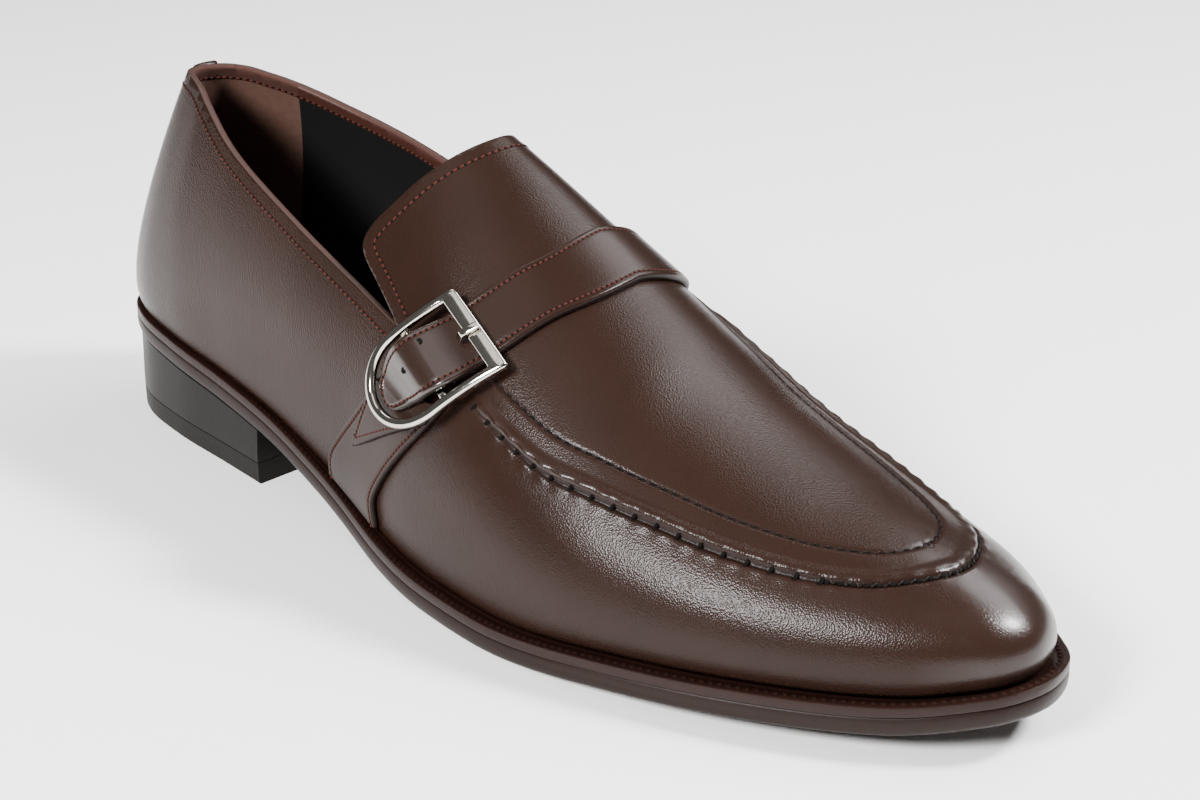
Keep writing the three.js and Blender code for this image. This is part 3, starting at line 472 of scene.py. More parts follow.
def rounded(points):
    """A denser line through points: Catmull-Rom."""
    points = np.array(points, float)
    ends = np.vstack([2 * points[0] - points[1], points, 2 * points[-1] - points[-2]])
    shares = np.linspace(0, 1, 8, endpoint=False)
    dense = []
    for before, a, b, after in zip(ends, ends[1:], ends[2:], ends[3:]):
        dense += [hermite(t, a, b, (b - before) / 2, (after - a) / 2) for t in shares]
    return np.array(dense + [points[-1]])


class Opening:
    """The shoe's opening, ruled across between its outer and inner line."""

    def __init__(self, last):
        self.blend = 0.12 * last.ball
        self.lines = []
        for side in ("lateral", "medial"):
            line = np.vstack([rounded(COLLAR_EDGE[side]), rounded(TONGUE_EDGE[side])[1:]])
            line = np.stack([last.x(line[:, 0]), line[:, 1] * last.collar], -1)
            ceiling = np.array([[line[-1, 0], 2 * last.collar], [line[0, 0], 2 * last.collar]])
            self.lines.append(np.vstack([line, ceiling]))

    def distance(self, points):
        """Distance from the opening's edge, seen from the side: positive on the leather."""
        share = np.clip((points[:, 1] + self.blend) / (2 * self.blend), 0, 1)[:, None]
        x, z = points[:, 0], points[:, 2]
        nearest = np.full(len(points), 1e9)
        inside = np.zeros(len(points), bool)
        count = len(self.lines[0])
        for i in range(count):
            a = self.lines[0][i] * (1 - share) + self.lines[1][i] * share
            j = (i + 1) % count
            b = self.lines[0][j] * (1 - share) + self.lines[1][j] * share
            run = b - a
            t = ((x - a[:, 0]) * run[:, 0] + (z - a[:, 1]) * run[:, 1]) / np.maximum((run ** 2).sum(1), 1e-9)
            t = np.clip(t, 0, 1)
            nearest = np.minimum(nearest, np.hypot(x - a[:, 0] - t * run[:, 0], z - a[:, 1] - t * run[:, 1]))
            crosses = (a[:, 1] > z) != (b[:, 1] > z)
            rise = np.where(run[:, 1] == 0, 1e-9, run[:, 1])
            inside ^= crosses & (x < a[:, 0] + (z - a[:, 1]) * run[:, 0] / rise)
        return np.where(inside, -nearest, nearest)


# Meshes

def linear(hex_value):
    """An sRGB hex value as a linear colour."""
    parts = [int(hex_value[i:i + 2], 16) / 255 for i in (1, 3, 5)]
    return [c / 12.92 if c <= 0.04045 else ((c + 0.055) / 1.055) ** 2.4 for c in parts] + [1]


def make_object(name, points, faces, materials, face_slots=None, attributes=None, sharp=None):
    """An object from points in millimetres, with its faces turned outwards."""
    points = np.asarray(points, float)
    mesh = bpy.data.meshes.new(name)
    mesh.from_pydata((points * MM).tolist(), [], [tuple(int(i) for i in face) for face in faces])
    for material in materials:
        mesh.materials.append(material)
    if face_slots is not None:
        mesh.polygons.foreach_set("material_index", np.asarray(face_slots, dtype=np.int32))
    for key, values in (attributes or {}).items():
        attribute = mesh.attributes.new(key, "FLOAT", "POINT")
        attribute.data.foreach_set("value", np.asarray(values, dtype=np.float32))
    mesh.validate(clean_customdata=False)
    mesh.calc_loop_triangles()
    corners = np.empty(len(mesh.loop_triangles) * 3, dtype=np.int32)
    mesh.loop_triangles.foreach_get("vertices", corners)
    a, b, c = (points[corners[i::3]] for i in range(3))
    if np.einsum("ij,ij->i", a, np.cross(b, c)).sum() < 0:
        mesh.flip_normals()
    mesh.shade_smooth()
    if sharp is not None:
        mesh.set_sharp_from_angle(angle=math.radians(sharp))
    made = bpy.data.objects.new(name, mesh)
    bpy.context.collection.objects.link(made)
    return made


def settle(piece, slot, *nodes):
    """Puts a finished piece on the frame: it rides and stands for its nodes. Its slot is not used."""
    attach(piece, "root")
    if nodes:
        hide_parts(*nodes)


def ring_faces(rings, size, closed_along=False, capped=False):
    """Faces of a loft through rings of equal size."""
    faces = []
    last = rings if closed_along else rings - 1
    for i in range(last):
        a, b = i * size, (i + 1) % rings * size
        faces += [(a + k, b + k, b + (k + 1) % size, a + (k + 1) % size) for k in range(size)]
    if capped:
        end = (rings - 1) * size
        for k in range(size // 2 - 1):
            back = size - 1 - k
            faces.append((k, k + 1, back - 1, back))
            faces.append((end + k, end + back, end + back - 1, end + k + 1))
    return faces


def merged(points, faces):
    """The same faces with coinciding points made one and collapsed corners dropped."""
    keys = np.round(np.asarray(points) / 0.0005).astype(np.int64)
    _, first, which = np.unique(keys, axis=0, return_index=True, return_inverse=True)
    which = which.reshape(-1)
    kept = []
    for face in faces:
        corners = [int(which[i]) for i in face]
        corners = [c for i, c in enumerate(corners) if c != corners[i - 1]]
        if len(set(corners)) > 2 and len(set(corners)) == len(corners):
            kept.append(tuple(corners))
    return np.asarray(points)[first], kept


def arc_stations(last, spacing_back, spacing_front):
    """Shares of the length whose steps along the sole's edge are even, closer in front."""
    at = (1 - np.cos(np.linspace(0, math.pi, 4000))) / 2
    points = last.edge_point(np.full(at.shape, -1), at, np.zeros(at.shape))[0]
    step = np.linalg.norm(np.diff(points, axis=0), axis=1)
    middle = (at[1:] + at[:-1]) / 2
    wanted = np.interp(middle, (0.42, 0.55), (spacing_back, spacing_front))
    climb = np.concatenate([[0], np.cumsum(step / wanted)])
    return np.interp(np.linspace(0, climb[-1], int(climb[-1]) + 1), climb, at)


def even_stations(count, to=1.0):
    """Stations closer together round the heel and the toe."""
    even = np.linspace(0, 1, count + 1)
    return to * (0.3 * even + 0.7 * (1 - np.cos(math.pi * even)) / 2)


# Upper

def seam_relief(last, side, at, up):
    """Lift of the leather at the apron's seam, in millimetres, and its shares of groove and crest."""
    leather = settings("shoe_leather")
    start, width, raised = last.seam_row(side, at)
    band = leather.seam_width / MM
    across = (up - start) / width * band
    bold = last.seam["bold"](at)
    high, pucker = leather.seam_height / MM * bold, leather.pucker / MM * bold
    phase = 2 * math.pi * seam_length(last, side, at) / (settings("shoe_stitches").hand_pitch / MM)

    def swell(middle, reach):
        return np.exp(-((across - middle) / reach) ** 2)

    # The lip rises over 1.4 mm, rolls off from 1.6 to 3.6 mm to a low band, and ends in a 0.7 mm step
    climb = np.clip(across / 1.4, 0, 1)
    fall = np.clip((across - 1.6) / 2.0, 0, 1)
    step = np.clip((across - band + 0.7) / 0.7, 0, 1)
    roll = high * np.sqrt(1 - (1 - climb) ** 2) * (1 - 0.65 * fall * fall * (3 - 2 * fall)) * (1 - step)
    outer, inner, below = swell(0, 0.5), swell(band, 0.4), swell(-1.1, 0.8)
    ripple = -0.5 * pucker * np.cos(phase) * (0.9 * swell(0.9, 0.8) + 0.5 * below)
    lift = np.where(across < 0, 0, roll) - 0.7 * outer - 0.35 * inner + 0.12 * below + ripple
    # The groove share becomes painted shade: the leather's colour darkens along both seam lines
    groove = np.clip(outer + 0.8 * inner, 0, 1)
    crest = 0.3 * swell(1.3, 0.9) * np.clip((0.74 - at) / 0.08, 0, 1)
    return lift * raised, groove * raised, crest * raised


def seam_line(last, side, at, across, lift):
    """Points and normals along the apron's seam, the given way across it, without the stitches' ripples."""
    side = np.full(at.shape, side)
    start, width, _ = last.seam_row(side, at)
    up = start + width * across / (settings("shoe_leather").seam_width / MM)
    return last.place(at, side * (1 - up), lift)


def seam_lengths(last, side):
    """Length along the apron's outer seam from the waist, at even shares of the shoe's length."""
    known = last.known_lengths
    if side not in known:
        at = np.linspace(0.5, 1, 1500)
        line = seam_line(last, side, at, 0.1, -0.2)[0]
        known[side] = at, np.concatenate([[0], np.cumsum(np.linalg.norm(np.diff(line, axis=0), axis=1))])
    return known[side]


def seam_length(last, side, at):
    """Length along the outer seam at given shares of the shoe's length."""
    return np.where(side < 0, np.interp(at, *seam_lengths(last, -1)), np.interp(at, *seam_lengths(last, 1)))


def soft_relief(points):
    """Slow unevenness of stretched leather, in millimetres."""
    x, y, z = points[..., 0], points[..., 1], points[..., 2]
    return 0.06 * np.sin(x / 13 + 1.3 * np.sin(z / 17)) * np.sin(y / 11 + z / 15 + 0.7)


def upper_grid(last):
    """Grid of places over the whole last: at and around, one row for each station."""
    stations = arc_stations(last, 2.1, 1.1)
    below, above = 1.8, 2.4
    rows = []
    for side in (-1, 1):
        hand = np.full(stations.shape, side)
        start, width, _ = last.seam_row(hand, stations)
        unit_width = width / (settings("shoe_leather").seam_width / MM)
        begin = start - below * unit_width
        top = np.minimum(start + width + above * unit_width, 0.992)
        wall = begin[:, None] * np.linspace(0, 1, 27)[:-1]
        seam = begin[:, None] + (top - begin)[:, None] * np.linspace(0, 1, 27)[:-1]
        apron = top[:, None] + (1 - top)[:, None] * np.linspace(0, 1, 24)
        rows.append(np.hstack([wall, seam, apron]))
    around = np.hstack([-(1 - rows[0]), (1 - rows[1])[:, ::-1][:, 1:]])
    around[:, rows[0].shape[1] - 1] = 0
    at = np.repeat(stations[:, None], around.shape[1], axis=1)
    return at, around


def leather_point(last, at, around, lift=0.0):
    """Point of the finished leather at a place, with its normal and its shares of groove and crest."""
    at, around = np.asarray(at, float), np.asarray(around, float)
    base, normal = last.place(at, around)
    side = np.where(around < 0, -1, 1)
    relief, groove, crest = seam_relief(last, side, at, 1 - np.abs(around))
    fade = np.clip(np.minimum(at, 1 - at) / 0.01, 0, 1)
    relief = relief + soft_relief(base) * fade
    return base + normal * (relief + lift)[..., None], normal, groove, crest


def clip_faces(triangles, level):
    """Triangles cut at the zero of a level, keeping where it is positive. New corners are edge shares."""
    keep = level > 0
    corner_in = keep[triangles]
    whole = triangles[corner_in.all(1)]
    mixed = triangles[corner_in.any(1) & ~corner_in.all(1)]
    cuts, pairs, faces = {}, [], [tuple(t) for t in whole]

    def crossing(a, b):
        key = (min(a, b), max(a, b))
        if key not in cuts:
            cuts[key] = len(level) + len(pairs)
            share = level[key[0]] / (level[key[0]] - level[key[1]])
            pairs.append((key[0], key[1], min(max(share, 0.02), 0.98)))
        return cuts[key]

    for triangle in mixed:
        polygon = []
        for k in range(3):
            a, b = int(triangle[k]), int(triangle[(k + 1) % 3])
            if keep[a]:
                polygon.append(a)
            if keep[a] != keep[b]:
                polygon.append(crossing(a, b))
        faces.append(tuple(polygon))
    return faces, pairs


def between(at, around, low, high, share):
    """Places a share of the way along edges. A place on the heel's centre line takes the other's side."""
    first, second = around[low], around[high]
    first = np.where(at[low] <= 0, np.copysign(first, second), first)
    second = np.where(at[high] <= 0, np.copysign(second, first), second)
    return at[low] * (1 - share) + at[high] * share, first * (1 - share) + second * share


def contour(at, around, triangles, level):
    """Chains of places along which a level is zero."""
    pairs = clip_faces(triangles, level)[1]
    index = {(low, high): k for k, (low, high, _) in enumerate(pairs)}
    keep = level > 0
    links = {}
    for triangle in triangles[keep[triangles].any(1) & ~keep[triangles].all(1)]:
        corners = [int(i) for i in triangle]
        first, second = (index[min(a, b), max(a, b)] for a, b in zip(corners, corners[1:] + corners[:1])
                         if keep[a] != keep[b])
        links.setdefault(first, []).append(second)
        links.setdefault(second, []).append(first)
    edges = (np.array(row) for row in zip(*pairs))
    place_at, place_around = between(at.reshape(-1), around.reshape(-1), *edges)
    chains, seen = [], set()
    for start in [k for k in links if len(links[k]) == 1] + list(links):
        chain, here = [], None if start in seen else start
        while here is not None:
            seen.add(here)
            chain.append(here)
            here = next((k for k in links[here] if k not in seen), None)
        if len(chain) > 8:
            chains.append((place_at[chain], place_around[chain]))
    return chains


def grid_triangles(rows, columns):
    """Triangles of a grid that runs round the last, whose first and last rows fold onto themselves."""
    index = np.arange(rows * columns).reshape(rows, columns)
    middle = columns // 2
    for row in (0, rows - 1):
        index[row, middle + 1:] = index[row, :middle][::-1]
    a, b, c, d = index[:-1, :-1], index[1:, :-1], index[1:, 1:], index[:-1, 1:]
    both = np.concatenate([np.stack([a, b, c], -1).reshape(-1, 3), np.stack([a, c, d], -1).reshape(-1, 3)])
    distinct = (both[:, 0] != both[:, 1]) & (both[:, 1] != both[:, 2]) & (both[:, 0] != both[:, 2])
    return both[distinct]


def border_edges(faces):
    """Edges that only one face uses, in that face's direction."""
    directed = {(face[k - 1], face[k]) for face in faces for k in range(len(face))}
    return [(a, b) for a, b in directed if (b, a) not in directed]


def cut_sheet(last, opening):
    """The last's grid with the opening cut out of it: faces, at and around."""
    at, around = upper_grid(last)
    triangles = grid_triangles(*at.shape)
    at, around = at.reshape(-1), around.reshape(-1)
    faces, pairs = clip_faces(triangles, opening.distance(last.place(at, around)[0]))
    cut_at, cut_around = between(at, around, *(np.array(row) for row in zip(*pairs)))
    at, around = np.concatenate([at, cut_at]), np.concatenate([around, cut_around])
    used = np.unique([i for face in faces for i in face])
    renumber = np.full(len(at), -1)
    renumber[used] = np.arange(len(used))
    return [tuple(int(renumber[i]) for i in face) for face in faces], at[used], around[used]


class SHOE_OT_upper(bpy.types.Operator):
    """Makes the lasted upper with its tongue and lining"""
    bl_idname = "shoe.upper"
    bl_label = "Upper"

    def execute(self, context):
        last = Last()
        opening = Opening(last)
        faces, at, around = cut_sheet(last, opening)
        outer, normal, groove, crest = leather_point(last, at, around)
        plain = last.place(at, around)[0]
        wall = settings("shoe_leather").wall / MM
        border = border_edges(faces)
        rim = sorted({i for edge in border for i in edge})
        points = [outer, plain - normal * wall]
        points += [ring[rim] for ring in self.edge_rings(border, outer, plain, normal, around, wall)]
        count = len(outer)
        slots = [0] * len(faces) + [2] * len(faces)
        faces += [tuple(count + i for i in reversed(face)) for face in faces]
        edge_faces, edge_slots = self.edge_faces(border, rim, count)
        collar = settings("shoe").collar_height / MM
        pocket_seam = -0.38 * last.length - 0.31 * (0.91 * collar - plain[:, 2])
        polish = np.maximum(crest, 0.35 * np.clip((at - 0.94) / 0.04, 0, 1))
        known = {"from_edge": np.maximum(opening.distance(plain), 0), "groove": groove, "polish": polish,
                 "pocket": pocket_seam - plain[:, 0]}
        attributes = {name: np.concatenate([values, values, np.tile(values[rim], 3)])
                      for name, values in known.items()}
        upper = make_object("upper_leather", np.concatenate(points), faces + edge_faces,
                            [calf_leather(), cut_edge(), lining_leather()], slots + edge_slots, attributes)
        settle(upper, "upper_leather", "upper")
        return {"FINISHED"}

    def edge_rings(self, border, outer, plain, normal, around, wall):
        """Three rings of points that round the cut edge from the outside to the inside."""
        outward = np.zeros(outer.shape)
        for a, b in border:
            way = np.cross(outer[b] - outer[a], normal[a])
            outward[a] += way
            outward[b] += way
        lip = np.where(np.abs(around) > 0.995, 0, 0.4)[:, None] * unit(outward)
        depths = ((0.2, 0.75), (0.5, 1.0), (0.8, 0.75))
        return [plain - normal * wall * depth + lip * bulge for depth, bulge in depths]

    def edge_faces(self, border, rim, count):
        """Faces over the cut edge, the outer two rows in its own finish and the others in the lining's."""
        place = {v: k for k, v in enumerate(rim)}
        rows = [2 * count + k * len(rim) for k in range(3)]
        faces, slots = [], []
        for a, b in border:
            chain = [(a, b)] + [(row + place[a], row + place[b]) for row in rows] + [(count + a, count + b)]
            for k, ((p, q), (r, s)) in enumerate(zip(chain, chain[1:])):
                faces.append((q, p, r, s))
                slots.append(1 if k < 2 else 2)
        return faces, slots


# Sole

def layer(name, last, stations, profile, material, capped=False, sharp=38):
    """A plate across the sole whose edge climbs through rows of inset and height."""
    rings = []
    for at in stations:
        at = np.float64(at)
        climb = []
        for inset, height in profile:
            out = last.edge_point(np.array([-1, 1]), np.array([at, at]), np.array([inset, inset]))[0]
            climb.append([(p[0], p[1], height(p[0])) for p in out])
        rings.append([pair[0] for pair in climb] + [pair[1] for pair in reversed(climb)])
    size = len(rings[0])
    points, faces = merged(np.array(rings).reshape(-1, 3), ring_faces(len(rings), size, capped=capped))
    return make_object(name, points, faces, [material], sharp=sharp)


class SHOE_OT_sole(bpy.types.Operator):
    """Makes the heel, outsole, welt and insole"""
    bl_idname = "shoe.sole"
    bl_label = "Sole"

    def execute(self, context):
        last = Last()
        sizes = settings("shoe")
        gap = last.gap
        stations = even_stations(190)
        under, top = last.underside, last.outsole_top
        outsole = layer("outsole_edge", last, stations, [
            (2.4, under), (1.0, lambda x: under(x) + 0.15), (0.35, lambda x: under(x) + 0.6),
            (0.1, lambda x: under(x) + 1.3), (0.0, lambda x: under(x) + 0.55 * last.outsole),
            (0.05, lambda x: top(x) - 0.45), (0.3, lambda x: top(x) - 0.05), (0.8, top),
        ], inked_edge())
        settle(outsole, "sole_rubber", "outsole")

        heel_stations = [a for a in even_stations(150) if a < HEEL_BREAST - 0.002] + [HEEL_BREAST]
        piece = sizes.top_piece / MM
        top_piece = layer("heel_rubber_top_piece", last, heel_stations, [
            (1.6, lambda x: 0.0), (1.0, lambda x: 0.12), (0.65, lambda x: 0.5),
            (0.6, lambda x: piece * 0.6), (0.6, lambda x: piece), (0.75, lambda x: piece + 0.12),
            (1.3, lambda x: piece + 0.12),
        ], heel_rubber(), capped=True, sharp=30)
        settle(top_piece, "heel_rubber", "heel_top_piece")
        block = layer("heel_stack", last, heel_stations, [
            (1.3, lambda x: piece + 0.18), (0.75, lambda x: piece + 0.18), (0.6, lambda x: piece + gap),
            (0.6, lambda x: piece + gap + 3), (0.75, lambda x: (piece + under(x)) / 2),
            (0.9, lambda x: under(x) - gap - 1.2), (1.0, lambda x: under(x) - gap - 0.3),
            (1.4, lambda x: under(x) - gap),
        ], stacked_heel(), capped=True, sharp=30)
        settle(block, "heel_rubber", "heel_block")

        thick = sizes.insole_thickness / MM
        bed = lambda x: last.welt_top(x) + gap
        edge = last.reach + settings("shoe_leather").wall / MM + 2 * gap
        core = WELT_WIDTH + gap
        sock = layer("insole_sock", last, even_stations(120), [
            (core, lambda x: top(x) + gap), (core, bed), (edge, bed), (edge, lambda x: bed(x) + thick - 0.5),
            (edge + 0.5, lambda x: bed(x) + thick),
        ], sock_leather())
        settle(sock, "insole_leather", "insole")
        self.welt(last)
        return {"FINISHED"}

    def welt(self, last):
        """The welt: a strip with a soft outer edge and a groove beside the upper."""
        stations = even_stations(230)
        low = lambda x: last.outsole_top(x) + 0.1
        top = last.welt_top
        rings = []
        path = [(-1, at) for at in stations] + [(1, at) for at in stations[1:-1][::-1]]
        for side, at in path:
            reach = last.reach * float(last.under["reach"](at))
            groove = max(reach - 0.9, 1.8)
            profile = [
                (0.5, low), (0.15, lambda x: low(x) + 0.08), (0.05, lambda x: low(x) + 0.3),
                (0.05, lambda x: top(x) - 0.5), (0.15, lambda x: top(x) - 0.15),
                (0.45, lambda x: top(x) - 0.02), (0.8, top),
                (1.1, lambda x: top(x) - 0.12), (1.5, lambda x: top(x) - 0.12),
                (groove, lambda x: top(x) - 0.1), (groove + 0.45, lambda x: top(x) - 0.5),
                (reach + 0.3, lambda x: top(x) - 0.55),
                (WELT_WIDTH, lambda x: top(x) - 0.1), (WELT_WIDTH, low),
            ]
            ring = []
            for inset, height in profile:
                p = last.edge_point(np.array([side]), np.array([at]), np.array([inset]))[0][0]
                ring.append((p[0], p[1], float(height(p[0]))))
            rings.append(ring)
        points = np.array(rings).reshape(-1, 3)
        faces = ring_faces(len(rings), len(rings[0]), closed_along=True)
        welt = make_object("welt_strip", *merged(points, faces), [welt_leather()], sharp=50)
        settle(welt, "welt_leather", "welt")


# Straps and panels

def flowing_column(values):
    """Flowing curve through a column's values, by the row's number: Catmull-Rom."""
    values = np.array(values, float)
    lean = np.gradient(values)

    def value(number):
        i = np.clip(np.floor(number).astype(int), 0, len(values) - 2)
        return hermite(number - i, values[i], values[i + 1], lean[i], lean[i + 1])

    return value


def table_reader(rows):
    """Flowing curves through the columns of a table of rows, by the row's number."""
    return {name: flowing_column(values) for name, values in rows.items()}, len(rows["front"]) - 1


def laid_places(read, number, share):
    """Places in a laid piece: the share of the way from its front to its rear edge in the given rows."""
    at = read["front"](number) * (1 - share) + read["rear"](number) * share
    return at, read["front_around"](number) * (1 - share) + read["rear_around"](number) * share


def laid_leather(name, last, rows, thickness, base, materials, steps, grooves=(1.7, 1.7),
                 round_ends=(False, False)):
    """A piece of leather laid on the last, with rounded edges and a shallow groove under its stitches."""
    read, end = table_reader(rows)
    strap = settings("shoe_leather").strap / MM
    number = np.linspace(0, end, steps)
    share = (1 - np.cos(np.linspace(0, math.pi, 37))) / 2
    middle = len(share) // 2
    at, around = laid_places(read, number[:, None], share)
    low = np.repeat((base + last.gap + read["lift"](number) * strap)[:, None], len(share), axis=1)
    bottom, normal = last.place(at, around, low)
    width = np.linalg.norm(bottom[:, -1] - bottom[:, 0], axis=1)[:, None]
    along = np.concatenate([[0], np.cumsum(np.linalg.norm(np.diff(bottom[:, middle], axis=0), axis=1))])
    from_front, from_rear = share * width, (1 - share) * width
    ends = [away for away, round_end in zip((along, along[-1] - along), round_ends) if round_end]
    from_end = np.min(ends, axis=0)[:, None] if ends else width
    from_side = np.minimum(np.minimum(from_front, from_rear), from_end)
    soft = 0.75
    inset = np.clip(1 - from_side / soft, 0, 1)
    height = thickness * (0.35 + 0.65 * np.sqrt(np.maximum(1 - inset ** 2, 0)))
    for depth, distance in zip(grooves, (from_front, from_rear)):
        if depth:
            height = height - 0.16 * np.exp(-((distance - depth) / 0.4) ** 2)
    top = bottom + normal * height[..., None]
    count = len(share)
    points = np.concatenate([top, bottom[:, ::-1]], axis=1).reshape(-1, 3)
    faces = ring_faces(len(number), 2 * count, capped=True)
    # Painted shade: the groove share, rising towards the rounded edges and whole underneath, darkens the
    # leather's colour there
    return make_object(name, points, faces, materials, attributes={
        "polish": np.repeat(np.clip(read["lift"](number) - 0.8, 0, 1), 2 * count),
        "groove": np.concatenate([inset, np.ones_like(inset)], axis=1).reshape(-1)})


def edge_path(last, rows, inset, lift, edges, part=(0.0, 1.0)):
    """A line of stitches along the edges of a laid piece: places and the height over the last."""
    read, end = table_reader(rows)
    strap = settings("shoe_leather").strap / MM
    number = np.linspace(end * part[0], end * part[1], 160)
    front, rear = (last.place(*laid_places(read, number, side))[0] for side in (0, 1))
    share = np.clip(inset / np.maximum(np.linalg.norm(front - rear, axis=1), 1e-6), 0, 0.5)
    lines = []
    for edge in edges:
        at, around = laid_places(read, number, share if edge == "front" else 1 - share)
        lines.append((at, around, last.gap + read["lift"](number) * strap + lift))
    return lines


class SHOE_OT_straps(bpy.types.Operator):
    """Makes the saddle strap, its panel, the buckle's tab and the strip over the back seam"""
    bl_idname = "shoe.straps"
    bl_label = "Straps"

    def execute(self, context):
        last = Last()
        leather = settings("shoe_leather")
        strap, panel, tab = leather.strap / MM, leather.panel / MM, leather.tab / MM
        finish = [strap_leather()]
        made = laid_leather("saddle_strap_leather", last, STRAP, strap, 0, finish, 340,
                            round_ends=(False, True))
        settle(made, "strap_leather", "saddle_strap")
        self.holes(last, strap)
        made = laid_leather("saddle_panel", last, SADDLE, panel, 0, finish, 130)
        settle(made, "strap_leather", "lateral_saddle")
        made = laid_leather("tab_leather", last, TAB, tab, last.gap + panel, finish, 60, grooves=(0, 1.5),
                            round_ends=(True, False))
        settle(made, "strap_leather", "buckle_tab")
        self.back_strip(last, leather)
        return {"FINISHED"}

    def holes(self, last, strap):
        """Two unused holes punched in the strap's end, each a dimple with a pressed rim, black inside:
        painted shadow of the hole.
        """
        read, _ = table_reader(STRAP)
        points, faces = [], []
        corners = 16
        profile = ((0.85, -0.4), (0.95, 0.02), (0.75, 0.12), (0.4, 0.06))
        for number, share in ((16.65, 0.775), (18.4, 0.55)):
            row = np.array([number])
            at, around = laid_places(read, row, share)
            middle, normal = last.place(at, around, last.gap + read["lift"](row) * strap + strap)
            middle, normal = middle[0], normal[0]
            first = unit(np.cross(normal, [0.0, 0, 1]))
            second = np.cross(normal, first)
            start = len(points)
            points.append(middle - normal * 0.5)
            for radius, height in profile:
                for angle in np.linspace(0, 2 * math.pi, corners, endpoint=False):
                    out = first * math.cos(angle) + second * math.sin(angle)
                    points.append(middle + out * radius + normal * height)
            end = len(points)
            points.append(middle + normal * 0.04)
            rings = [range(start + 1 + ring * corners, end)[:corners] for ring in range(len(profile))]
            for k in range(corners):
                n = (k + 1) % corners
                faces.append((start, rings[0][n], rings[0][k]))
                faces += [(low[k], low[n], high[n], high[k]) for low, high in zip(rings, rings[1:])]
                faces.append((rings[-1][k], rings[-1][n], end))
        made = make_object("strap_holes", points, faces, [stitch_hole()])
        settle(made, "strap_leather")

    def back_strip(self, last, leather):
        """The strip over the back seam, folded over the collar to the inside."""
        thick = leather.back_strip / MM
        wall = leather.wall / MM
        width = smooth_column(BACK_STRIP["height"], BACK_STRIP["width"])
        half_width = leather.back_strip_width / MM / 2
        half_at = SOLE_EDGE["at"][1] * half_width / (SOLE_EDGE["lateral"][1] * last.ball)
        share = np.linspace(-1, 1, 21)
        side = np.where(share < 0, -1, 1)
        outline = []
        for height in np.linspace(BACK_STRIP["height"][0], BACK_STRIP_TOP, 40):
            at = np.abs(share) * half_at * float(width(height))
            up = last.at_height(side, at, np.full(at.shape, height * last.collar))
            around = side * (1 - up)
            rounding = np.sqrt(np.clip(1 - np.clip(1 - (1 - np.abs(share)) * 6, 0, 1) ** 2, 0, 1))
            low = last.place(at, around, np.full(at.shape, last.gap))[0]
            high, normal = last.place(at, around, last.gap + thick * (0.3 + 0.7 * rounding))
            outline.append(np.concatenate([high, low[::-1]]))
        lean = 0.25
        up_way = np.array([lean, 0, 1.0]) / math.hypot(lean, 1)
        radius = wall / 2
        centre = (high + low) / 2 - normal * radius
        for angle in np.radians(np.linspace(0, 180, 9)[1:]):
            out, rise = math.cos(angle), math.sin(angle)
            over = centre + normal * radius * out * 1.15 + up_way * (radius + 0.7 * thick) * rise
            under = centre + normal * (radius - 0.2) * out + up_way * (radius * 0.7) * rise
            outline.append(np.concatenate([over, under[::-1]]))
        for drop in (1.0, 2.0):
            lowered = over - up_way * drop - normal * 0.2
            outline.append(np.concatenate([lowered, (under - up_way * drop)[::-1]]))
        faces = ring_faces(len(outline), 2 * len(share), capped=True)
        made = make_object("back_strip_leather", np.concatenate(outline), faces, [strap_leather()], sharp=60)
        settle(made, "strap_leather", "back_strip")


# Buckle

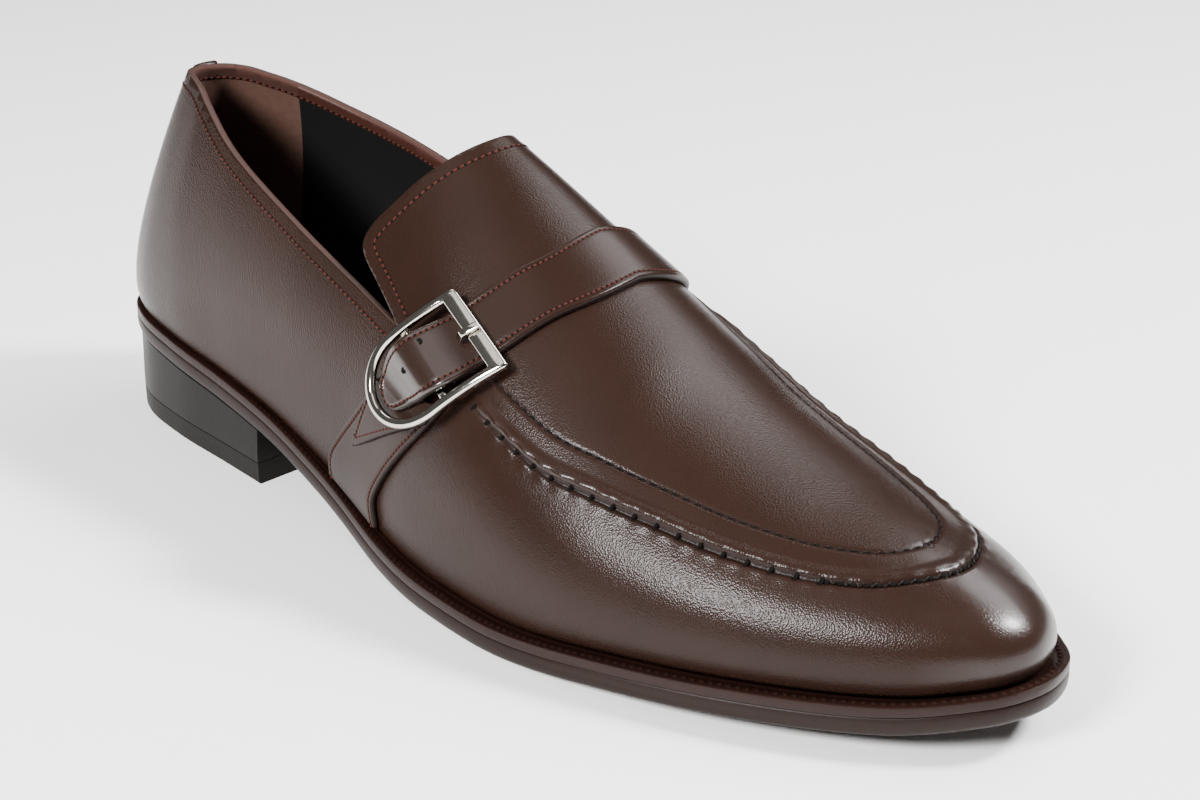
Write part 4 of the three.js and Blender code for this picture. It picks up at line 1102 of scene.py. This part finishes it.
class Buckle:
    """The D's own frame on the outer side: along its bar and down to its round end."""

    # Place of its middle on the last, then the turn of its bar and the lean of its legs in degrees
    at, around = 0.519, -0.597
    turn, lean = -30, -9
    leg_share, middle_bar_share = 0.58, 0.47

    def __init__(self, last):
        sizes = settings("shoe_buckle")
        self.last = last
        self.width, self.depth = sizes.width / MM, sizes.depth / MM
        self.wire, self.bar = sizes.wire / MM, sizes.bar / MM
        self.thickness, self.lift, self.rise = sizes.thickness / MM, sizes.lift / MM, sizes.rise / MM
        point, normal = last.place(np.array([self.at]), np.array([self.around]))
        self.origin, self.normal = point[0], normal[0]
        level = unit(np.array([1.0, 0, 0]) - self.normal * self.normal[0])
        self.bar_way = turned(level, self.normal, self.turn)
        self.down_way = turned(unit(np.cross(self.bar_way, self.normal)), self.normal, self.lean)

    def place(self, spots):
        """Points from rows of along, down and height over the frame's underside."""
        spots = np.asarray(spots, float)
        flat = self.origin + self.bar_way * spots[:, :1] + self.down_way * (spots[:, 1:2] - self.depth / 2)
        at, around = self.last.land(flat, self.normal, self.at, self.around)
        lift = self.lift + self.rise * spots[:, 1] / self.depth + spots[:, 2]
        return self.last.place(at, around, lift)[0]

    def edges(self):
        """Outer and inner edge of the D, two coordinates each, and a share of roundness of the wire there."""
        outer, inner = self.width / 2, self.width / 2 - self.wire
        leg_end = self.depth * self.leg_share
        corner, flat = 1.1, 0.25
        bar = [((outer - corner) * s, 0, inner * s * 0.97, self.bar, flat) for s in np.linspace(-1, 1, 25)]
        side = []
        for k in range(1, 5):
            a = math.radians(90 - 90 * k / 5)
            side.append((outer - corner + corner * math.cos(a), corner - corner * math.sin(a), inner,
                         self.bar + 0.05 * k, flat + 0.15 * k))
        for s in np.linspace(0.08, 1, 16):
            down = corner + (leg_end - corner) * s
            side.append((outer, down, inner, self.bar + (leg_end - self.bar) * s, 1.0))
        arc = [(outer * math.cos(a), leg_end + (self.depth - leg_end) * math.sin(a),
                inner * math.cos(a), leg_end + (self.depth - self.wire - leg_end) * math.sin(a), 1.0)
               for a in np.linspace(0, math.pi, 50)[1:-1]]
        return bar + side + arc + [(-a, b, -c, d, roundness) for a, b, c, d, roundness in reversed(side)]

    def ring(self, a, b, low, thickness, roundness):
        """Section of the wire between two edge places: flat with soft edges, or rounder."""
        spots = []
        power = 0.35 + 0.45 * roundness
        for k in range(WIRE_CORNERS):
            t = 2 * math.pi * (k + 0.5) / WIRE_CORNERS
            c, s = math.cos(t), math.sin(t)
            across = 0.5 - 0.5 * math.copysign(abs(c) ** power, c)
            height = 0.5 + 0.5 * math.copysign(abs(s) ** power, s)
            spots.append((a[0] + (b[0] - a[0]) * across, a[1] + (b[1] - a[1]) * across,
                          low + thickness * height))
        return spots


class SHOE_OT_buckle(bpy.types.Operator):
    """Makes the D buckle with the bar across its middle and its prong"""
    bl_idname = "shoe.buckle"
    bl_label = "Buckle"

    def execute(self, context):
        last = Last()
        buckle = Buckle(last)
        rows = buckle.edges()
        spots = []
        for a, b, c, d, roundness in rows:
            spots += buckle.ring((a, b), (c, d), 0, buckle.thickness, roundness)
        points = buckle.place(spots)
        faces = ring_faces(len(rows), WIRE_CORNERS, closed_along=True)
        reach, middle = (buckle.width - buckle.wire) / 2, buckle.depth * buckle.middle_bar_share
        half, low = 1.2, -buckle.rise * buckle.middle_bar_share
        spots = []
        shares = np.linspace(-1, 1, 13)
        for s in shares:
            spots += buckle.ring((reach * s, middle - half), (reach * s, middle + half), low, 2, 0.8)
        start = len(points)
        points = np.vstack([points, buckle.place(spots)])
        bar = ring_faces(len(shares), WIRE_CORNERS, capped=True)
        faces += [tuple(start + i for i in face) for face in bar]
        frame_piece = make_object("buckle_d_frame", points, faces, [polished_nickel()], sharp=60)
        settle(frame_piece, "buckle_nickel", "buckle_frame")

        top, out = buckle.thickness, buckle.bar
        path = [(out + 1.9, top - 1.7), (out + 1.4, top - 1.1), (out + 0.9, top - 0.5),
                (out + 0.45, top + 0.15), (out * 0.75, top + 0.3), (out / 2, top + 0.3),
                (out * 0.25, top + 0.3), (0.2, top + 0.25)]
        spots = []
        half = 1.0
        for down, height in path:
            spots += buckle.ring((-half, down), (half, down), height, 0.95, 0.3)
        faces = ring_faces(len(path), WIRE_CORNERS, capped=True)
        prong = make_object("buckle_prong_tip", buckle.place(spots), faces, [polished_nickel()], sharp=50)
        settle(prong, "buckle_nickel", "buckle_prong")
        return {"FINISHED"}


# Stitches

def stitch_tree():
    """Geometry Nodes: small beads in a row along each line of the path, lying on the leather."""
    name = "stitch row"
    if name in bpy.data.node_groups:
        return bpy.data.node_groups[name]
    tree = bpy.data.node_groups.new(name, "GeometryNodeTree")
    face = tree.interface
    face.new_socket("Geometry", in_out="INPUT", socket_type="NodeSocketGeometry")
    for label, default in (("Pitch", 0.002), ("Length", 0.0015), ("Width", 0.0005), ("Height", 0.0004),
                           ("Shift", 0.0), ("Lean", 0.0)):
        socket = face.new_socket(label, in_out="INPUT", socket_type="NodeSocketFloat")
        socket.default_value = default
    face.new_socket("Finish", in_out="INPUT", socket_type="NodeSocketMaterial")
    face.new_socket("Geometry", in_out="OUTPUT", socket_type="NodeSocketGeometry")
    into = add(tree, "NodeGroupInput")
    out = add(tree, "NodeGroupOutput")
    curve = add(tree, "GeometryNodeMeshToCurve", links={"Mesh": into.outputs["Geometry"]})
    even = add(tree, "GeometryNodeResampleCurve", mode="LENGTH",
               links={"Curve": curve.outputs[0], "Length": into.outputs["Pitch"]})
    tangent = add(tree, "GeometryNodeInputTangent")
    normal = add(tree, "GeometryNodeInputNamedAttribute", {"Name": "lay"}, data_type="FLOAT_VECTOR")
    first = add(tree, "FunctionNodeAlignRotationToVector", axis="X", links={"Vector": tangent.outputs[0]})
    second = add(tree, "FunctionNodeAlignRotationToVector", axis="Z", pivot_axis="X",
                 links={"Rotation": first.outputs[0], "Vector": normal.outputs[0]})
    lean = add(tree, "ShaderNodeCombineXYZ", links={"Z": into.outputs["Lean"]})
    lean_turn = add(tree, "FunctionNodeEulerToRotation", links={"Euler": lean.outputs[0]})
    turn = add(tree, "FunctionNodeRotateRotation", rotation_space="LOCAL",
               links={"Rotation": second.outputs[0], "Rotate By": lean_turn.outputs[0]})
    bead = add(tree, "GeometryNodeMeshUVSphere", {"Segments": 8, "Rings": 6, "Radius": 0.5})
    size = add(tree, "ShaderNodeCombineXYZ",
               links={"X": into.outputs["Length"], "Y": into.outputs["Width"], "Z": into.outputs["Height"]})
    shift = add(tree, "ShaderNodeCombineXYZ", links={"X": into.outputs["Shift"]})
    shaped = add(tree, "GeometryNodeTransform", links={
        "Geometry": bead.outputs[0], "Translation": shift.outputs[0], "Scale": size.outputs[0]})
    smooth = add(tree, "GeometryNodeSetShadeSmooth", links={"Geometry": shaped.outputs[0]})
    placed = add(tree, "GeometryNodeInstanceOnPoints", links={
        "Points": even.outputs[0], "Instance": smooth.outputs[0], "Rotation": turn.outputs[0]})
    real = add(tree, "GeometryNodeRealizeInstances", links={"Geometry": placed.outputs[0]})
    done = add(tree, "GeometryNodeSetMaterial",
               links={"Geometry": real.outputs[0], "Material": into.outputs["Finish"]})
    tree.links.new(done.outputs[0], out.inputs[0])
    return tree


def stitch_rows(name, lines, finish, slot, **sizes):
    """A piece of stitches along lines, each a pair of points and normals in millimetres."""
    points, edges, lay = [], [], []
    for line, normals in lines:
        start = len(points)
        points += (line * MM).tolist()
        lay += normals.tolist()
        edges += [(start + i, start + i + 1) for i in range(len(line) - 1)]
    mesh = bpy.data.meshes.new(name)
    mesh.from_pydata(points, edges, [])
    mesh.attributes.new("lay", "FLOAT_VECTOR", "POINT").data.foreach_set(
        "vector", np.asarray(lay, dtype=np.float32).reshape(-1))
    path = bpy.data.objects.new(name + "_path", mesh)
    bpy.context.collection.objects.link(path)
    modifier = path.modifiers.new("stitches", "NODES")
    modifier.node_group = stitch_tree()
    sockets = {item.name: item.identifier for item in modifier.node_group.interface.items_tree
               if item.in_out == "INPUT"}
    for label, value in sizes.items():
        modifier[sockets[label.capitalize()]] = value if label == "lean" else value * MM
    modifier[sockets["Finish"]] = finish
    bpy.context.view_layer.update()
    graph = bpy.context.evaluated_depsgraph_get()
    result = bpy.data.meshes.new_from_object(path.evaluated_get(graph))
    path.modifiers.clear()
    bpy.data.objects.remove(path)
    if not result.polygons:
        raise RuntimeError(f"{name} has no stitches")
    piece = bpy.data.objects.new(name, result)
    bpy.context.collection.objects.link(piece)
    settle(piece, slot)
    return piece


def surface_line(last, at, around, lift, inside=False):
    """Points and normals along places on the finished leather."""
    points, normal = leather_point(last, at, around, lift)[:2]
    if inside:
        points, normal = last.place(at, around, lift)[0], -normal
    return points, normal


def smooth_line(line, normals, passes=6):
    """The same line with the small steps of its grid taken out."""
    line, normals = line.copy(), normals.copy()
    for _ in range(passes):
        line[1:-1] = (line[:-2] + 2 * line[1:-1] + line[2:]) / 4
        normals[1:-1] = unit(normals[:-2] + 2 * normals[1:-1] + normals[2:])
    return line, normals


class SHOE_OT_stitches(bpy.types.Operator):
    """Sews the collar, tongue, straps, apron and welt"""
    bl_idname = "shoe.stitches"
    bl_label = "Stitches"

    def execute(self, context):
        last = Last()
        self.sizes = settings("shoe_stitches")
        pitch, thread = self.sizes.pitch / MM, self.sizes.thread / MM
        opening = Opening(last)
        at, around = upper_grid(last)
        triangles = grid_triangles(*at.shape)
        base = last.place(at.reshape(-1), around.reshape(-1))[0]
        distance = opening.distance(base)
        outside, inside = [], []
        for inset, lines, lift, within in ((3.6, outside, 0.05, False), (3.0, inside, -2.3, True)):
            for a, w in contour(at, around, triangles, distance - inset):
                lines.append(smooth_line(*surface_line(last, a, w, lift, inside=within)))
        self.row("collar_stitches", outside, pitch, thread, machine_thread())
        self.row("facing_stitches", inside, pitch, thread, machine_thread())
        self.straps(last, pitch, thread)
        self.apron(last)
        self.welt(last)
        return {"FINISHED"}

    def row(self, name, lines, pitch, thread, finish):
        """Machine stitches with a black bead between each two: painted shadow of the pricked hole."""
        stitch_rows(name, lines, finish, "strap_leather", pitch=pitch, length=pitch * 0.72, width=thread,
                    height=thread * 0.8, shift=0, lean=0.12)
        stitch_rows(name + "_holes", lines, stitch_hole(), "strap_leather", pitch=pitch, length=thread * 1.5,
                    width=thread * 1.6, height=thread * 0.5, shift=pitch / 2, lean=0.0)

    def straps(self, last, pitch, thread):
        """Rows along the strap, the panels and the tab."""
        leather = settings("shoe_leather")
        strap, panel, tab = leather.strap / MM, leather.panel / MM, leather.tab / MM
        close = pitch * 0.8
        lines = []
        front, rear = edge_path(last, STRAP, 1.7, strap - 0.12, ("front", "rear"), part=(0.02, 0.985))
        joined = [np.concatenate([a, b[::-1]]) for a, b in zip(front, rear)]
        lines.append(last.place(*joined))
        self.row("strap_stitches", lines, close, thread, machine_thread())
        lines = [last.place(*line) for line in edge_path(last, SADDLE, 1.7, panel - 0.1, ("rear", "front"))]
        self.row("panel_stitches", lines, close, thread, machine_thread())
        lines = [last.place(*self.tab_path(last, 1.5, 2 * last.gap + panel + tab - 0.1))]
        self.row("tab_stitches", lines, close, thread, machine_thread())

    def tab_path(self, last, inset, lift):
        """Along the tab's free end and up its rear edge."""
        read, end = table_reader(TAB)
        front, rear = last.place(*laid_places(read, np.zeros(2), np.array([0.0, 1.0])))[0]
        share = 1 - inset / np.linalg.norm(front - rear)
        turn = 0.42
        number = np.concatenate([np.full(60, turn), np.linspace(turn, end, 60)[1:]])
        share = np.concatenate([np.linspace(0.15, share, 60), np.full(59, share)])
        at, around = laid_places(read, number, share)
        return at, around, np.full(at.shape, lift)

    def apron(self, last):
        """Hand stitches of the apron's outer seam and the finer row of its inner seam."""
        hand, thread = self.sizes.hand_pitch / MM, self.sizes.hand_thread / MM
        band = settings("shoe_leather").seam_width / MM
        rear, toe, inner = [], [], []
        for side, begin in ((-1, 0.575), (1, 0.615)):
            at, lengths = seam_lengths(last, side)
            first, bend = (round(float(np.interp(a, at, lengths)) / hand) * hand for a in (begin, 0.87))
            for lines, row, across in ((rear, np.linspace(first, bend, 600), 0.1),
                                       (toe, np.linspace(bend, lengths[-1], 300), 0.1),
                                       (inner, np.linspace(first, lengths[-1], 900), band - 0.05)):
                lines.append(seam_line(last, side, np.interp(row, lengths, at), across, -0.2))
        toe, inner = ([tuple(np.concatenate([a, b[::-1][1:]]) for a, b in zip(*halves))]
                      for halves in (toe, inner))
        stitch_rows("apron_rear_thread", rear, waxed_thread(), "strap_leather", pitch=hand, length=thread * 2,
                    width=thread * 0.6, height=thread * 0.8, shift=hand / 2, lean=0.1)
        stitch_rows("apron_rear_ticks", rear, stitch_hole(), "strap_leather", pitch=hand, length=thread * 3.2,
                    width=thread * 1.3, height=thread * 2.2, shift=0, lean=1.25)
        pitch = hand / 2
        for name, lines, width in (("toe", toe, thread * 0.85), ("inner", inner, thread * 0.7)):
            stitch_rows(f"apron_{name}_thread", lines, dark_thread(), "strap_leather", pitch=pitch,
                        length=width * 2.8, width=width, height=width * 1.3, shift=0, lean=0.6)
            # Black beads between the stitches: painted shadow of the pricked holes
            stitch_rows(f"apron_{name}_holes", lines, stitch_hole(), "strap_leather", pitch=pitch,
                        length=width * 2, width=width * 1.6, height=width * 0.9, shift=pitch * 0.4, lean=0)

    def welt(self, last):
        """Ribs of the welt's own stitches along its top."""
        pitch = self.sizes.welt_pitch / MM
        at = (1 - np.cos(np.linspace(0, math.pi, 900))) / 2
        at = 0.24 + 0.76 * at
        lines = []
        for side in (-1, 1):
            hand = np.full(at.shape, side)
            reach = last.reach * last.under["reach"](at)
            edge = last.edge_point(hand, at, np.maximum(reach - 2.3, 1.0))[0]
            line = np.stack([edge[:, 0], edge[:, 1], last.welt_top(edge[:, 0]) - 0.05], -1)
            lines.append((line, np.tile([0.0, 0, 1], (len(at), 1))))
        stitch_rows("welt_stitches", lines, welt_thread(), "welt_leather", pitch=pitch, length=pitch * 0.62,
                    width=1.5, height=0.35, shift=0, lean=0.35)


# Materials

def add(tree, kind, values=None, links=None, **options):
    """Adds a node to a tree with its options, its values and its links."""
    made = tree.nodes.new(kind)
    for name, value in options.items():
        setattr(made, name, value)
    for socket, value in (values or {}).items():
        made.inputs[socket].default_value = value
    for socket, source in (links or {}).items():
        tree.links.new(source, made.inputs[socket])
    return made


def new_material(name):
    """A material with an empty tree."""
    material = bpy.data.materials.new(name)
    material.use_nodes = True
    material.node_tree.nodes.clear()
    return material, material.node_tree


def finished(material, values, links):
    """The material with its one shader, from the shader's values and links."""
    shader = add(material.node_tree, "ShaderNodeBsdfPrincipled", values, links)
    add(material.node_tree, "ShaderNodeOutputMaterial", links={"Surface": shader.outputs[0]})
    return material


def shades(tree, fac, dark, light):
    """A colour between two linear ones."""
    return add(tree, "ShaderNodeMix", {6: dark, 7: light}, {0: fac.outputs["Fac"]}, data_type="RGBA")


def scaled(hex_value, factor):
    """An sRGB hex value as a linear colour made darker or lighter by a factor."""
    return [min(c * factor, 1) for c in linear(hex_value)[:3]] + [1]


def noise(tree, where, size, detail=4.0, rough=0.5):
    """Soft noise with features of a size in millimetres."""
    return add(tree, "ShaderNodeTexNoise", {"Scale": 1 / (size * MM), "Detail": detail, "Roughness": rough},
               {"Vector": where.outputs["Object"]})


def grained(tree, grain, depth):
    """A bump of fine leather grain: cells of the given width in millimetres, broken up by soft noise."""
    where = add(tree, "ShaderNodeTexCoord")
    cells = add(tree, "ShaderNodeTexVoronoi", {"Scale": 1 / (grain * MM)},
                {"Vector": where.outputs["Object"]})
    broken = noise(tree, where, grain / 0.9, detail=2.0, rough=0.7)
    total = add(tree, "ShaderNodeMath", {1: 0.4}, {0: broken.outputs["Fac"], 2: cells.outputs["Distance"]},
                operation="MULTIPLY_ADD")
    bump = add(tree, "ShaderNodeBump", {"Strength": 1.0, "Distance": depth * MM},
               {"Height": total.outputs[0]})
    return bump, where


def leather_material(name, grain, depth, coat):
    """Calf glazed by the tannery: fine pores and a soft shine, darker and duller in a seam's groove, and
    with a clear polish where it is bent or rubbed. The darker colour in the grooves, along the edges of laid
    pieces and under them is painted shade. Its grain is drawn a little coarse, so that it shows."""
    if name in bpy.data.materials:
        return bpy.data.materials[name]
    material, tree = new_material(name)
    colours = settings("shoe_colours")
    roughness = 0.25
    bump, where = grained(tree, grain, depth)
    cloud = noise(tree, where, 26, detail=3.0, rough=0.55)
    # Painted shade: the groove share turns the colour towards the dark leather in the seams' grooves, along
    # laid pieces' edges and under them; the cloud gives the leather's own uneven tone
    groove = add(tree, "ShaderNodeAttribute", attribute_name="groove")
    spread = add(tree, "ShaderNodeMapRange", {"From Min": 0.35, "From Max": 0.7},
                 {"Value": cloud.outputs["Fac"]})
    dim = add(tree, "ShaderNodeMath", {1: 0.35}, {0: spread.outputs[0]}, operation="MULTIPLY")
    both = add(tree, "ShaderNodeMath", {}, {0: dim.outputs[0], 1: groove.outputs["Fac"]}, operation="MAXIMUM")
    tone = add(tree, "ShaderNodeMix", {6: linear(colours.leather), 7: linear(colours.leather_mottle_and_shade)},
               {0: both.outputs[0]}, data_type="RGBA")
    uneven = add(tree, "ShaderNodeMapRange", {"To Min": roughness - 0.03, "To Max": roughness + 0.05},
                 {"Value": cloud.outputs["Fac"]})
    dull = add(tree, "ShaderNodeMath", {1: 0.45}, {0: groove.outputs["Fac"]}, operation="MULTIPLY")
    sheen = add(tree, "ShaderNodeMath", {}, {0: uneven.outputs[0], 1: dull.outputs[0]}, operation="MAXIMUM")
    polish = add(tree, "ShaderNodeAttribute", attribute_name="polish")
    gloss = add(tree, "ShaderNodeMapRange", {"To Min": coat}, {"Value": polish.outputs["Fac"]})
    return finished(material, {"IOR": 1.5, "Coat Roughness": 0.22, "Specular IOR Level": 0.14}, {
        "Base Color": tone.outputs[2], "Roughness": sheen.outputs[0], "Normal": bump.outputs[0],
        "Coat Weight": gloss.outputs[0]})


def calf_leather():
    """Glazed calf of the upper, stretched over the last: the grain shows in its highlights."""
    return leather_material("glazed calf", 0.42, 0.055, 0.0)


def strap_leather():
    """Glazed calf of the strap and panels, cut from the same hide and pressed flat: smoother."""
    return leather_material("glazed calf strap", 0.42, 0.03, 0.02)


def plain_material(name, key, roughness, depth=0.02, grain=0.8, specular=0.5, mottle=0.12):
    """A finish of one colour with fine grain and small changes of tone."""
    if name in bpy.data.materials:
        return bpy.data.materials[name]
    material, tree = new_material(name)
    hex_value = getattr(settings("shoe_colours"), key)
    bump, where = grained(tree, grain, depth)
    tone = shades(tree, noise(tree, where, 7), scaled(hex_value, 1 - mottle), scaled(hex_value, 1 + mottle))
    return finished(material, {"IOR": 1.5, "Roughness": roughness, "Specular IOR Level": specular}, {
        "Base Color": tone.outputs[2], "Normal": bump.outputs[0]})


def cut_edge():
    """Cut and burnished edge of two layers of leather: paler than the face, slightly fibrous."""
    return plain_material("burnished cut edge", "raw_edge", 0.45, depth=0.03, grain=0.4)


def lining_leather():
    """Lining: pigskin band along the top, napped suede in the heel with a straight front seam, smooth black
    sides. The band looks smooth and brown, the suede matt and cloudy, the sides nearly black."""
    name = "sewn lining"
    if name in bpy.data.materials:
        return bpy.data.materials[name]
    material, tree = new_material(name)
    colours = settings("shoe_colours")
    bump, where = grained(tree, 0.6, 0.03)
    pocket = add(tree, "ShaderNodeAttribute", attribute_name="pocket")
    from_edge = add(tree, "ShaderNodeAttribute", attribute_name="from_edge")
    heel = add(tree, "ShaderNodeMath", {1: 0.0}, {0: pocket.outputs["Fac"]}, operation="GREATER_THAN")
    band = add(tree, "ShaderNodeMath", {1: 3.6}, {0: from_edge.outputs["Fac"]}, operation="LESS_THAN")
    suede = shades(tree, noise(tree, where, 2.2), scaled(colours.suede, 0.7), scaled(colours.suede, 1.2))
    sides = add(tree, "ShaderNodeMix", {6: linear(colours.lining)}, {0: heel.outputs[0], 7: suede.outputs[2]},
                data_type="RGBA")
    tone = add(tree, "ShaderNodeMix", {7: linear(colours.facing)}, {0: band.outputs[0], 6: sides.outputs[2]},
               data_type="RGBA")
    rough = add(tree, "ShaderNodeMapRange", {"To Min": 0.55, "To Max": 0.9}, {"Value": heel.outputs[0]})
    return finished(material, {"Specular IOR Level": 0.3}, {
        "Base Color": tone.outputs[2], "Roughness": rough.outputs[0], "Normal": bump.outputs[0]})


def sock_leather():
    """Black sock leather, matt."""
    return plain_material("matt sock leather", "lining", 0.6)


def welt_leather():
    """Stained and waxed welt leather: red-brown and blotchy with a soft shine."""
    return plain_material("waxed welt leather", "welt", 0.38, depth=0.04, grain=0.9, specular=0.16,
                          mottle=0.25)


def inked_edge():
    """Moulded rubber sole with an inked and buffed edge: dark brown, even, with a soft line of light."""
    return plain_material("inked rubber edge", "sole", 0.4, depth=0.03, grain=1.1, specular=0.14)


def heel_rubber():
    """Moulded rubber of the top piece: nearly black, dull."""
    return plain_material("moulded heel rubber", "heel", 0.5, depth=0.03, grain=0.9, specular=0.12)


def stacked_heel():
    """Stacked heel, inked and waxed: nearly black with a dull polish."""
    return plain_material("inked heel stack", "heel", 0.4, grain=1.3, specular=0.12)


def machine_thread():
    """Bonded polyester thread: reddish brown and dull, so each stitch reads against its dark hole."""
    return plain_material("bonded thread", "thread", 0.7, grain=0.25, specular=0.08)


def waxed_thread():
    """Waxed linen thread of the hand seam: dark, with a faint gleam."""
    return plain_material("waxed hand thread", "hand_thread", 0.6, depth=0.04, grain=0.3, specular=0.1)


def dark_thread():
    """Waxed thread blackened with the seam's dressing: reads as a dark cord."""
    return plain_material("blackened hand thread", "dark_thread", 0.45, depth=0.04, grain=0.3, specular=0.1)


def welt_thread():
    """Thread and pricked ribs of the welt, stained with it: they show by their shadows alone."""
    return plain_material("stained welt thread", "welt", 0.75, depth=0.03, grain=0.4, specular=0.05,
                          mottle=0.3)


def stitch_hole():
    """Shadow in the pricked hole beside a stitch: black and dull."""
    return plain_material("pricked hole", "hole", 0.9, specular=0.1)


def polished_nickel():
    """Nickel plate on brass, polished: a sharp, slightly warm mirror with faint handling marks."""
    name = "polished nickel plate"
    if name in bpy.data.materials:
        return bpy.data.materials[name]
    material, tree = new_material(name)
    colours = settings("shoe_colours")
    marks = noise(tree, add(tree, "ShaderNodeTexCoord"), 1.5)
    rough = add(tree, "ShaderNodeMapRange", {"To Min": 0.05, "To Max": 0.14}, {"Value": marks.outputs["Fac"]})
    tone = shades(tree, marks, linear(colours.nickel), linear(colours.nickel_dark))
    return finished(material, {"Metallic": 1.0}, {
        "Base Color": tone.outputs[2], "Roughness": rough.outputs[0]})


def pale_floor():
    """Matt white board: pale and even, with soft shadows."""
    return plain_material("matt white board", "floor", 0.6, depth=0.0, grain=5, specular=0.2, mottle=0.01)


# Stage

class SHOE_OT_stage(bpy.types.Operator):
    """Sets the pale floor, the soft studio light and the camera"""
    bl_idname = "shoe.stage"
    bl_label = "Stage"

    def execute(self, context):
        corners = [(x * FLOOR_REACH, y * FLOOR_REACH, 0) for x, y in ((-1, -1), (1, -1), (1, 1), (-1, 1))]
        floor = make_object("floor", corners, [(0, 1, 2, 3)], [pale_floor()])
        world = bpy.data.worlds.new("studio")
        world.use_nodes = True
        background = world.node_tree.nodes["Background"]
        background.inputs["Color"].default_value = (1, 1, 1, 1)
        background.inputs["Strength"].default_value = ROOM_LIGHT
        context.scene.world = world
        for light in LIGHTS:
            self.light(*light)
        self.camera(context)
        return {"FINISHED"}

    def light(self, name, place, target, width, height, power):
        """A soft rectangular light turned to a target."""
        data = bpy.data.lights.new(name, "AREA")
        data.shape, data.size, data.size_y, data.energy = "RECTANGLE", width, height, power
        lamp = bpy.data.objects.new(name, data)
        lamp.location = place
        lamp.rotation_euler = (Vector(target) - Vector(place)).to_track_quat("-Z", "Y").to_euler()
        bpy.context.collection.objects.link(lamp)

    def camera(self, context):
        """The photograph's own viewpoint, turned to the one shoe and closer in on it."""
        azimuth, elevation = math.radians(VIEW_AZIMUTH), math.radians(VIEW_ELEVATION)
        back = Vector((math.sin(azimuth) * math.cos(elevation), -math.cos(azimuth) * math.cos(elevation),
                       math.sin(elevation)))
        right = (-back).cross(Vector((0, 0, 1))).normalized()
        up = right.cross(-back)
        across, down = (SHOE_IN_PHOTO[i] - PHOTO_SIZE[i] / 2 for i in (0, 1))
        aim = -back + (right * across - up * down) / PHOTO_FOCAL
        data = bpy.data.cameras.new("camera")
        data.sensor_width = SENSOR_WIDTH
        data.lens = PHOTO_FOCAL * CLOSER * SENSOR_WIDTH / PHOTO_SIZE[0]
        camera = bpy.data.objects.new("camera", data)
        camera.location = Vector(VIEW_TARGET) + back * VIEW_DISTANCE
        camera.rotation_euler = aim.to_track_quat("-Z", "Y").to_euler()
        context.collection.objects.link(camera)
        context.scene.camera = camera


class SHOE_PT_panel(bpy.types.Panel):
    """Lists the shoe's pieces and sizes"""
    bl_label = "Monk Strap Shoe"
    bl_idname = "SHOE_PT_panel"
    bl_space_type = "VIEW_3D"
    bl_region_type = "UI"
    bl_category = "Shoe"

    def draw(self, context):
        for operator in OPERATORS:
            self.layout.operator(operator.bl_idname)
        for name, group in GROUPS.items():
            box = self.layout.box()
            for key in group.__annotations__:
                box.prop(getattr(context.scene, name), key)


OPERATORS = (SHOE_OT_stage, SHOE_OT_upper, SHOE_OT_sole, SHOE_OT_straps, SHOE_OT_buckle, SHOE_OT_stitches)


def register():
    """Registers the classes and hangs the properties on the scene."""
    for made in (*GROUPS.values(), *OPERATORS, SHOE_PT_panel):
        bpy.utils.register_class(made)
    for name, group in GROUPS.items():
        setattr(bpy.types.Scene, name, bpy.props.PointerProperty(type=group))


def unregister():
    """Takes the properties and the classes off again."""
    for name in GROUPS:
        delattr(bpy.types.Scene, name)
    for made in reversed((*GROUPS.values(), *OPERATORS, SHOE_PT_panel)):
        bpy.utils.unregister_class(made)


def main():
    """Makes the whole shoe."""
    register()
    for name in ("stage", "upper", "sole", "straps", "buckle", "stitches"):
        getattr(bpy.ops.shoe, name)()


if __name__ == "__main__":
    main()
